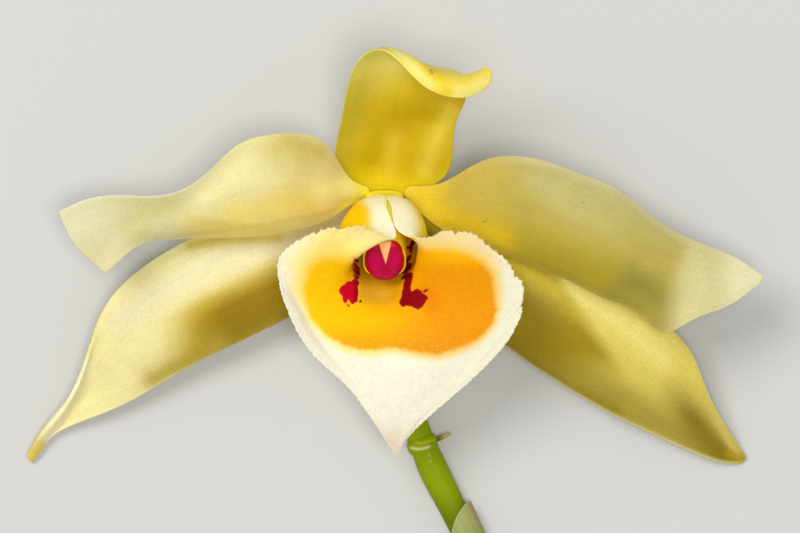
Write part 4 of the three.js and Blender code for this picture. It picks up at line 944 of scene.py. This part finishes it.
COLUMN_BASE = np.array([-1.35, 5.6, 5.5])
NOD = np.radians(38.3)
# Distance along the column, half width, half depth and crest; the first ones are the collar at its foot
COLUMN_SECTIONS = [
    (-0.7, 1.3, 0.75, 0), (-0.3, 1.62, 1.0, 0), (0.1, 1.66, 1.1, 0), (0.6, 1.6, 1.2, 0.2),
    (1.3, 1.55, 1.35, 0.6), (2.2, 1.6, 1.5, 0.95), (3.6, 1.76, 1.65, 1.2), (6, 1.9, 1.75, 1.0),
    (7.1, 1.9, 1.7, 0.7), (7.9, 1.88, 1.7, 0.2),
]
COLUMN_RIM = [(8.2, 1.87, 1.7), (8.3, 1.83, 1.66), (8.27, 1.77, 1.58), (8.1, 1.7, 1.5), (8.0, 1.5, 1.3)]
CREST_WIDTH = np.radians(32)
CREST_TURN = np.radians(78)
COLLAR_SQUARE = 0.5
COLUMN_STEPS = 80
COLUMN_SIDES = 96
END_SQUARE = 0.3
CREST_LINE = [(-1.2, 6.3), (-0.9, 5.3), (-0.7, 4.2), (-0.6, 3.9)]
CAP_CENTRE_ALONG = 8.12
CAP_HEIGHT = 0.92
CAP_EDGE = 0.12
CAP_FOOT = 0.9
CAP_FOOT_SUNK = 0.02
CAP_MIDDLE = np.array([0.0, -0.95])
CAP_SIDES = 80
CAP_RINGS = 56
CAP_OUTLINE = [
    (0.0, 2.16), (0.4, 2.2), (0.78, 2.22), (1.05, 2.14), (1.38, 1.75), (1.62, 0.95), (1.72, 0.0),
    (1.58, -0.75), (1.22, -1.35), (0.65, -1.8), (0.0, -1.92),
]
CAP_WEDGE = [
    (-1.95, 2.9), (-1.79, 1.82), (-1.68, 1.47), (-1.37, 0.57), (-1.25, 0.2), (-1.13, 0.57), (-0.91, 1.47),
    (-0.82, 1.82), (-0.6, 2.9),
]
WEDGE_SUNK = 0.12


def on_column(across, back, along):
    """A place in the column's own frame: across, towards its back, along it."""
    across, back, along = np.broadcast_arrays(across, back, along)
    return carry(np.stack([
        COLUMN_BASE[0] + across,
        COLUMN_BASE[1] + back * np.cos(NOD) - along * np.sin(NOD),
        COLUMN_BASE[2] + back * np.sin(NOD) + along * np.cos(NOD),
    ], axis=-1))


def column():
    sections = np.array(COLUMN_SECTIONS)
    places = sections[:, 0] - sections[0, 0]
    fine = spline(places, sections, np.linspace(0, places[-1], COLUMN_STEPS))
    angle = 2 * np.pi * np.arange(COLUMN_SIDES) / COLUMN_SIDES
    bump = np.exp(-((angle - CREST_TURN) / CREST_WIDTH) ** 2)
    rings = []
    for along, width, depth, crest in [*fine, *[(*ring, 0.0) for ring in COLUMN_RIM]]:
        square = 1 - COLLAR_SQUARE * rise(along, 1.2, 0.2) - END_SQUARE * rise(along, 4, 6.5)
        across = width * np.sign(np.cos(angle)) * np.abs(np.cos(angle)) ** square
        back = depth * np.sign(np.sin(angle)) * np.abs(np.sin(angle)) ** square
        rings.append(on_column(across, back + crest * bump, along))
    points, faces = loft(rings)
    at = seen(points)
    marks = {
        "collar": rise(at[:, 1], 5.4, 6.1),
        "crest": stroke(at, CREST_LINE, 0.45) * rise(points[:, 2], 7.5, 8.5),
        "low": rise(points[:, 2], 10.2, 8.6),
        # two painted glints on the collar, as small highlights
        "dots": rise(np.minimum(away(at, [(-1.83, 6.27)]), away(at, [(0.24, 6.35)])), 0.12, 0.03),
    }
    made = Finish("column_skin", living(0.42))
    # the two small dots are painted glints
    base = made.layered((255, 224, 20), [("low", (196, 170, 20)), ("crest", (250, 232, 96)),
                                         ("collar", (248, 236, 66)), ("dots", (255, 250, 150))])
    fine_noise = made.noise(0.09, 1.0)
    base = made.shade(base, fine_noise, 0.3, 0.7, 0.95, 1.04)
    material = made.finish(base, [(fine_noise, 0.012)])
    make_piece("column_body", points, faces, marks, material, "column")


def anther_cap():
    half = np.array(CAP_OUTLINE)
    side = spline(knots(half[:, None, :]), half, np.linspace(0, 1, CAP_SIDES + 1))
    outline = np.concatenate([side, side[-2:0:-1] * [-1, 1]])
    shares = np.sin(np.linspace(np.pi / 2, 0.02, CAP_RINGS))
    heights = CAP_EDGE + (1 - shares ** 2.6) ** (1 / 2.2) * (CAP_HEIGHT - CAP_EDGE)
    foot = (CAP_MIDDLE + CAP_FOOT * (outline - CAP_MIDDLE)).T
    rings = [on_column(*foot, CAP_CENTRE_ALONG - CAP_FOOT_SUNK)]
    for share, height in zip(shares, heights):
        flat = (CAP_MIDDLE + share * (outline - CAP_MIDDLE)).T
        wedge = within(seen(on_column(*flat, CAP_CENTRE_ALONG + height)), CAP_WEDGE)
        rings.append(on_column(*flat, CAP_CENTRE_ALONG + height - WEDGE_SUNK * rise(wedge, -0.06, 0.12)))
    points, faces = loft(rings)
    at = seen(points)
    marks = {
        "rim": loft_marks(rings, np.concatenate([[1.0], rise(shares, 0.8, 1.0)])),
        "lobe": stroke(at, [(-2.3, 0.9), (-2.1, -0.1)], 0.55) + stroke(at, [(-0.3, 1.0), (-0.5, 0.1)], 0.5),
        "wedge": within(at, CAP_WEDGE),
        "chin": stroke(at, [(-1.9, -0.7), (-1.2, -0.95), (-0.5, -0.6)], 0.3),
    }
    made = Finish("anther_cap_skin", living(0.4, 0.15))
    stipple = made.noise(0.11, 1.0)
    base = made.layered((172, 0, 50), [("lobe", (200, 0, 82)), ("rim", (190, 2, 8))])
    sparkle = made.sum("MULTIPLY", made.mark("chin"), made.ramp(stipple, 0.5, 0.62))
    base = made.mix(sparkle, base, (206, 40, 100))
    base = made.mix(made.ramp(made.mark("wedge"), -0.05, 0.08), base, (252, 190, 112))
    base = made.shade(base, stipple, 0.3, 0.7, 0.93, 1.06)
    material = made.finish(base, [(stipple, 0.01)])
    make_piece("anther_cap_shield", points, faces, marks, material, "anther_cap")


# The stalk, the stem and their dry scales

STEM_RADIUS = 1.22
STEM_AXIS_HEIGHT = 1.22
STALK_SIDES = 64
LINES_REPEAT = 25.0
PEDICEL_LINE = [
    [-1.1, 6.0, 4.5, 1.2], [-1.1, 5.9, 3.4, 1.5], [-1.1, 5.4, 2.2, 1.55], [-1.1, 4.1, 1.5, 1.45],
    [-1.15, 1.6, 1.32, 1.3], [-1.05, -3, 1.22, 1.2], [-0.55, -8.5, 1.2, 1.14], [1.7, -14.75, 1.2, 1.14],
    [1.85, -15.2, 1.2, 1.14],
]
STEM_LINE = [
    [1.74, -14.95, STEM_AXIS_HEIGHT, 1.22], [1.8, -15.1, STEM_AXIS_HEIGHT, 1.33],
    [1.9, -15.35, STEM_AXIS_HEIGHT, 1.36], [2.07, -15.72, STEM_AXIS_HEIGHT, 1.33],
    [2.16, -15.9, STEM_AXIS_HEIGHT, 1.24], [2.35, -16.35, STEM_AXIS_HEIGHT, STEM_RADIUS],
    [4.23, -20.3, STEM_AXIS_HEIGHT, STEM_RADIUS], [7.5, -26.9, STEM_AXIS_HEIGHT, STEM_RADIUS],
    [9.6, -31.3, STEM_AXIS_HEIGHT, 1.26], [10.1, -32.3, STEM_AXIS_HEIGHT, 1.3],
    [12.4, -37, STEM_AXIS_HEIGHT, STEM_RADIUS],
]
UPPER_RING = [(0.9, -14.85), (1.35, -15.2), (1.8, -15.45), (2.4, -15.25), (3.15, -14.97)]
SCAR = [(0.98, -15.77), (1.35, -15.86), (1.75, -15.87), (2.2, -15.79), (2.55, -15.68)]
PORES = [(2.55, -16.35), (2.62, -16.95)]
BRACT = [
    [[3.2, -14.76, 1.5], [3.9, -14.56, 1.6], [4.38, -14.44, 1.65]],
    [[3.2, -15.0, 1.4], [3.93, -14.74, 1.5], [4.41, -14.54, 1.6]],
    [[3.22, -15.24, 1.3], [3.96, -14.94, 1.4], [4.4, -14.65, 1.55]],
]
BRACT_THICKNESS = 0.3
SHEATH_TIP = [4.6, -21.1, 1.12]
SHEATH_NODE = [9.35, -30.8, 1.12]
SHEATH_RADIUS = 1.44
SHEATH_FLARE = 0.28
SHEATH_NECK = 0.16
SHEATH_TIP_ANGLES = [8, 40]
SHEATH_ANGLES = [-42, 196]
SHEATH_OPENED_AT = 0.42


def stalk(name, node, line, steps, layers, paint):
    """A round green stalk with faint lengthwise lines and fine pores."""
    rings = rod_rings(line, steps, STALK_SIDES)
    points, faces = loft(rings)
    turn = np.linspace(0, 2 * np.pi * STEM_RADIUS, STALK_SIDES, endpoint=False)
    marks = {
        "along": loft_marks(rings, np.linspace(0, LINES_REPEAT, len(rings))),
        "across": np.concatenate([np.tile(turn, len(rings)), [0, 0]]),
    }
    marks.update(paint(points))
    made = Finish(name + "_skin", living(0.5, 0.08, 0.1))
    base = made.mix(made.noise(2.2, 2.0), (132, 150, 0), (146, 163, 2))
    base = made.layered(base, layers)
    lines = made.streaks(0.3, 12.0)
    fine = made.noise(0.12, 1.0)
    base = made.shade(base, lines, 0.3, 0.7, 0.94, 1.05)
    material = made.finish(base, [(fine, 0.008), (lines, 0.02)])
    make_piece(name, points, faces, marks, material, node)


def stem_marks(points):
    at = seen(points)
    pores = np.minimum(*[away(at, [pore]) for pore in PORES])
    return {
        "scar": stroke(at, SCAR, 0.1),
        "collar": 0.75 * stroke(at, UPPER_RING, 0.12),
        "pores": 0.5 * rise(pores, 0.2, 0.05),
        "dark": rise(at[:, 1], -18.6, -22.4),
    }


def pedicel_marks(points):
    return {"top": rise(points[:, 1], 11.0, 14.5)}


def bract():
    along = close_to_ends(20, [0.02, 0.05])
    across = close_to_ends(14, [0.02, 0.06])
    middle = sheet(BRACT, along, across)
    skin = Skin(middle, BRACT_THICKNESS)
    marks = {"tip": skin.spread(np.repeat(rise(along, 0.15, 0.6)[:, None], len(across), axis=1))}
    made = Finish("bract_paper", {"Roughness": 0.7, "Specular IOR Level": 0.2})
    base = made.mix(made.mark("tip"), (112, 92, 22), (196, 176, 116))
    base = made.mix(made.ramp(made.noise(0.5, 3.0), 0.3, 0.7, 0.0, 0.5), base, (150, 128, 66))
    material = made.finish(base, [(made.noise(0.12, 2.0), 0.02)])
    make_piece("bract_scale", skin.points, skin.faces, marks, material, "bract")


def sheath():
    """A thin shell that hugs the stem from a node near the cut end up to a loose tip on the right."""
    along = close_to_ends(80, [0.003, 0.008])
    across = close_to_ends(60, [0.006, 0.015])
    start = carry(np.array(SHEATH_TIP))
    way = carry(np.array(SHEATH_NODE)) - start
    side = np.array([-way[1], way[0], 0]) / np.linalg.norm(way)
    u, v = np.meshgrid(along, across, indexing="ij")
    opened = np.minimum(1, u / SHEATH_OPENED_AT) ** 0.6
    ends = zip(SHEATH_TIP_ANGLES, SHEATH_ANGLES)
    low, high = (tip + (full - tip) * opened for tip, full in ends)
    angle = np.radians(low + (high - low) * v)
    radius = SHEATH_RADIUS + SHEATH_FLARE * (1 - u) ** 3 - SHEATH_NECK * rise(u, 0.9, 1.0)
    out = radius * np.cos(angle)
    middle = start + way * u[..., None] + side * out[..., None]
    middle[..., 2] = STEM_AXIS_HEIGHT + radius * np.sin(angle)
    skin = Skin(middle, SCALE_THICKNESS)
    marks = {
        "across": skin.spread(angle * SHEATH_RADIUS),
        "along": skin.spread(u * np.linalg.norm(way)),
        "tan": skin.spread(rise(np.degrees(angle), 48, 20)),
        "fresh": skin.spread(rise(u, 0.1, 0.45)),
        "reach": skin.spread(skin.reach),
    }
    made = Finish("sheath_paper", living(0.6, 0.2, 0.1))
    lines = made.streaks(0.13, 14.0)
    base = made.mix(made.mark("fresh"), (160, 165, 100), (128, 142, 54))
    base = made.mix(made.mark("tan"), base, (164, 150, 88))
    base = made.mix(made.ramp(made.mark("reach"), 0.2, 0.04, 0.0, 0.6), base, (196, 192, 146))
    base = made.shade(base, lines, 0.35, 0.65, 0.9, 1.06)
    material = made.finish(base, [(lines, 0.05)])
    make_piece("sheath_scale", skin.points, skin.faces, marks, material, "sheath")


# The stage

FLOOR_HALF = 3.0


def camera():
    """Looks straight down, with the drawing's width filling the picture."""
    view = bpy.data.cameras.new("camera")
    view.sensor_width = SENSOR
    view.lens = SENSOR * VIEW_DISTANCE / PICTURE_WIDTH
    view.clip_start = 0.05
    view.clip_end = 20.0
    made = put_in_scene("camera", view)
    made.location = (-MIDDLE[0] * MM, -MIDDLE[1] * MM, (DRAWN_AT + VIEW_DISTANCE) * MM)
    bpy.context.scene.camera = made


def floor():
    mesh = bpy.data.meshes.new("floor")
    corners = [(x * FLOOR_HALF, y * FLOOR_HALF, 0) for x, y in ((-1, -1), (1, -1), (1, 1), (-1, 1))]
    mesh.from_pydata(corners, [], [(0, 1, 2, 3)])
    paint = Finish("floor_paint", {"Roughness": 0.85, "Specular IOR Level": 0.2})
    tone = paint.noise(180.0, 2.0)
    base = paint.mix(tone, (203.4, 203.4, 203.4), (207.9, 207.9, 206.4))
    mesh.materials.append(paint.finish(base, []))
    put_in_scene("floor", mesh)


def lamp(name, place, size, power, warmth):
    light = bpy.data.lights.new(name, "AREA")
    light.shape = "DISK"
    light.size = size
    light.energy = power
    light.color = warmth
    made = put_in_scene(name, light)
    made.location = place
    aim = made.location.copy()
    aim.negate()
    made.rotation_euler = aim.to_track_quat("-Z", "Y").to_euler()


def lights():
    lamp("key", (-0.3, 0.25, 0.8), 0.4, 3.4, (1.0, 0.985, 0.95))
    lamp("front", (0.05, -0.05, 0.9), 0.25, 2.9, (1.0, 0.99, 0.97))
    world = bpy.data.worlds.new("studio")
    world.use_nodes = True
    world.node_tree.nodes["Background"].inputs["Color"].default_value = (1, 1, 1, 1)
    world.node_tree.nodes["Background"].inputs["Strength"].default_value = 0.42
    bpy.context.scene.world = world
    bpy.context.scene.view_settings.view_transform = "Standard"


camera()
floor()
lights()
tepal("left_petal", LEFT_PETAL, True, "petal", left_petal_layers,
      [(232, 219, 156), (226, 222, 158), (236, 228, 182)])
# The right petal's tones are darker than the left petal's: painted shade on the same tissue.
tepal("right_petal", RIGHT_PETAL, False, "petal", right_petal_layers,
      [(186, 169, 76), (200, 186, 104), (212, 204, 156)])
tepal("left_sepal", LEFT_SEPAL, True, "lateral_sepal", left_sepal_layers,
      [(238, 226, 157), (220, 208, 120), (236, 228, 172)], roughness=0.42, glitter=0.03)
tepal("right_sepal", RIGHT_SEPAL, False, "lateral_sepal", right_sepal_layers,
      [(220, 202, 92), (208, 196, 100), (222, 208, 136)], roughness=0.44, glitter=0.035)
tepal("dorsal_sepal", DORSAL_SEPAL, False, "dorsal_sepal", dorsal_layers,
      [(222, 193, 24), (220, 202, 84), (214, 196, 66)], roughness=0.42, glitter=0.01)
lip()
column()
anther_cap()
stalk("pedicel_stalk", "pedicel", PEDICEL_LINE, 120, [("top", (196, 196, 40))], pedicel_marks)
stalk("stem_stalk", "stem", STEM_LINE, 220,
      [("dark", (104, 120, 0)), ("pores", (186, 196, 90)), ("collar", (184, 192, 30)),
       ("scar", (226, 228, 150))], stem_marks)
bract()
sheath()
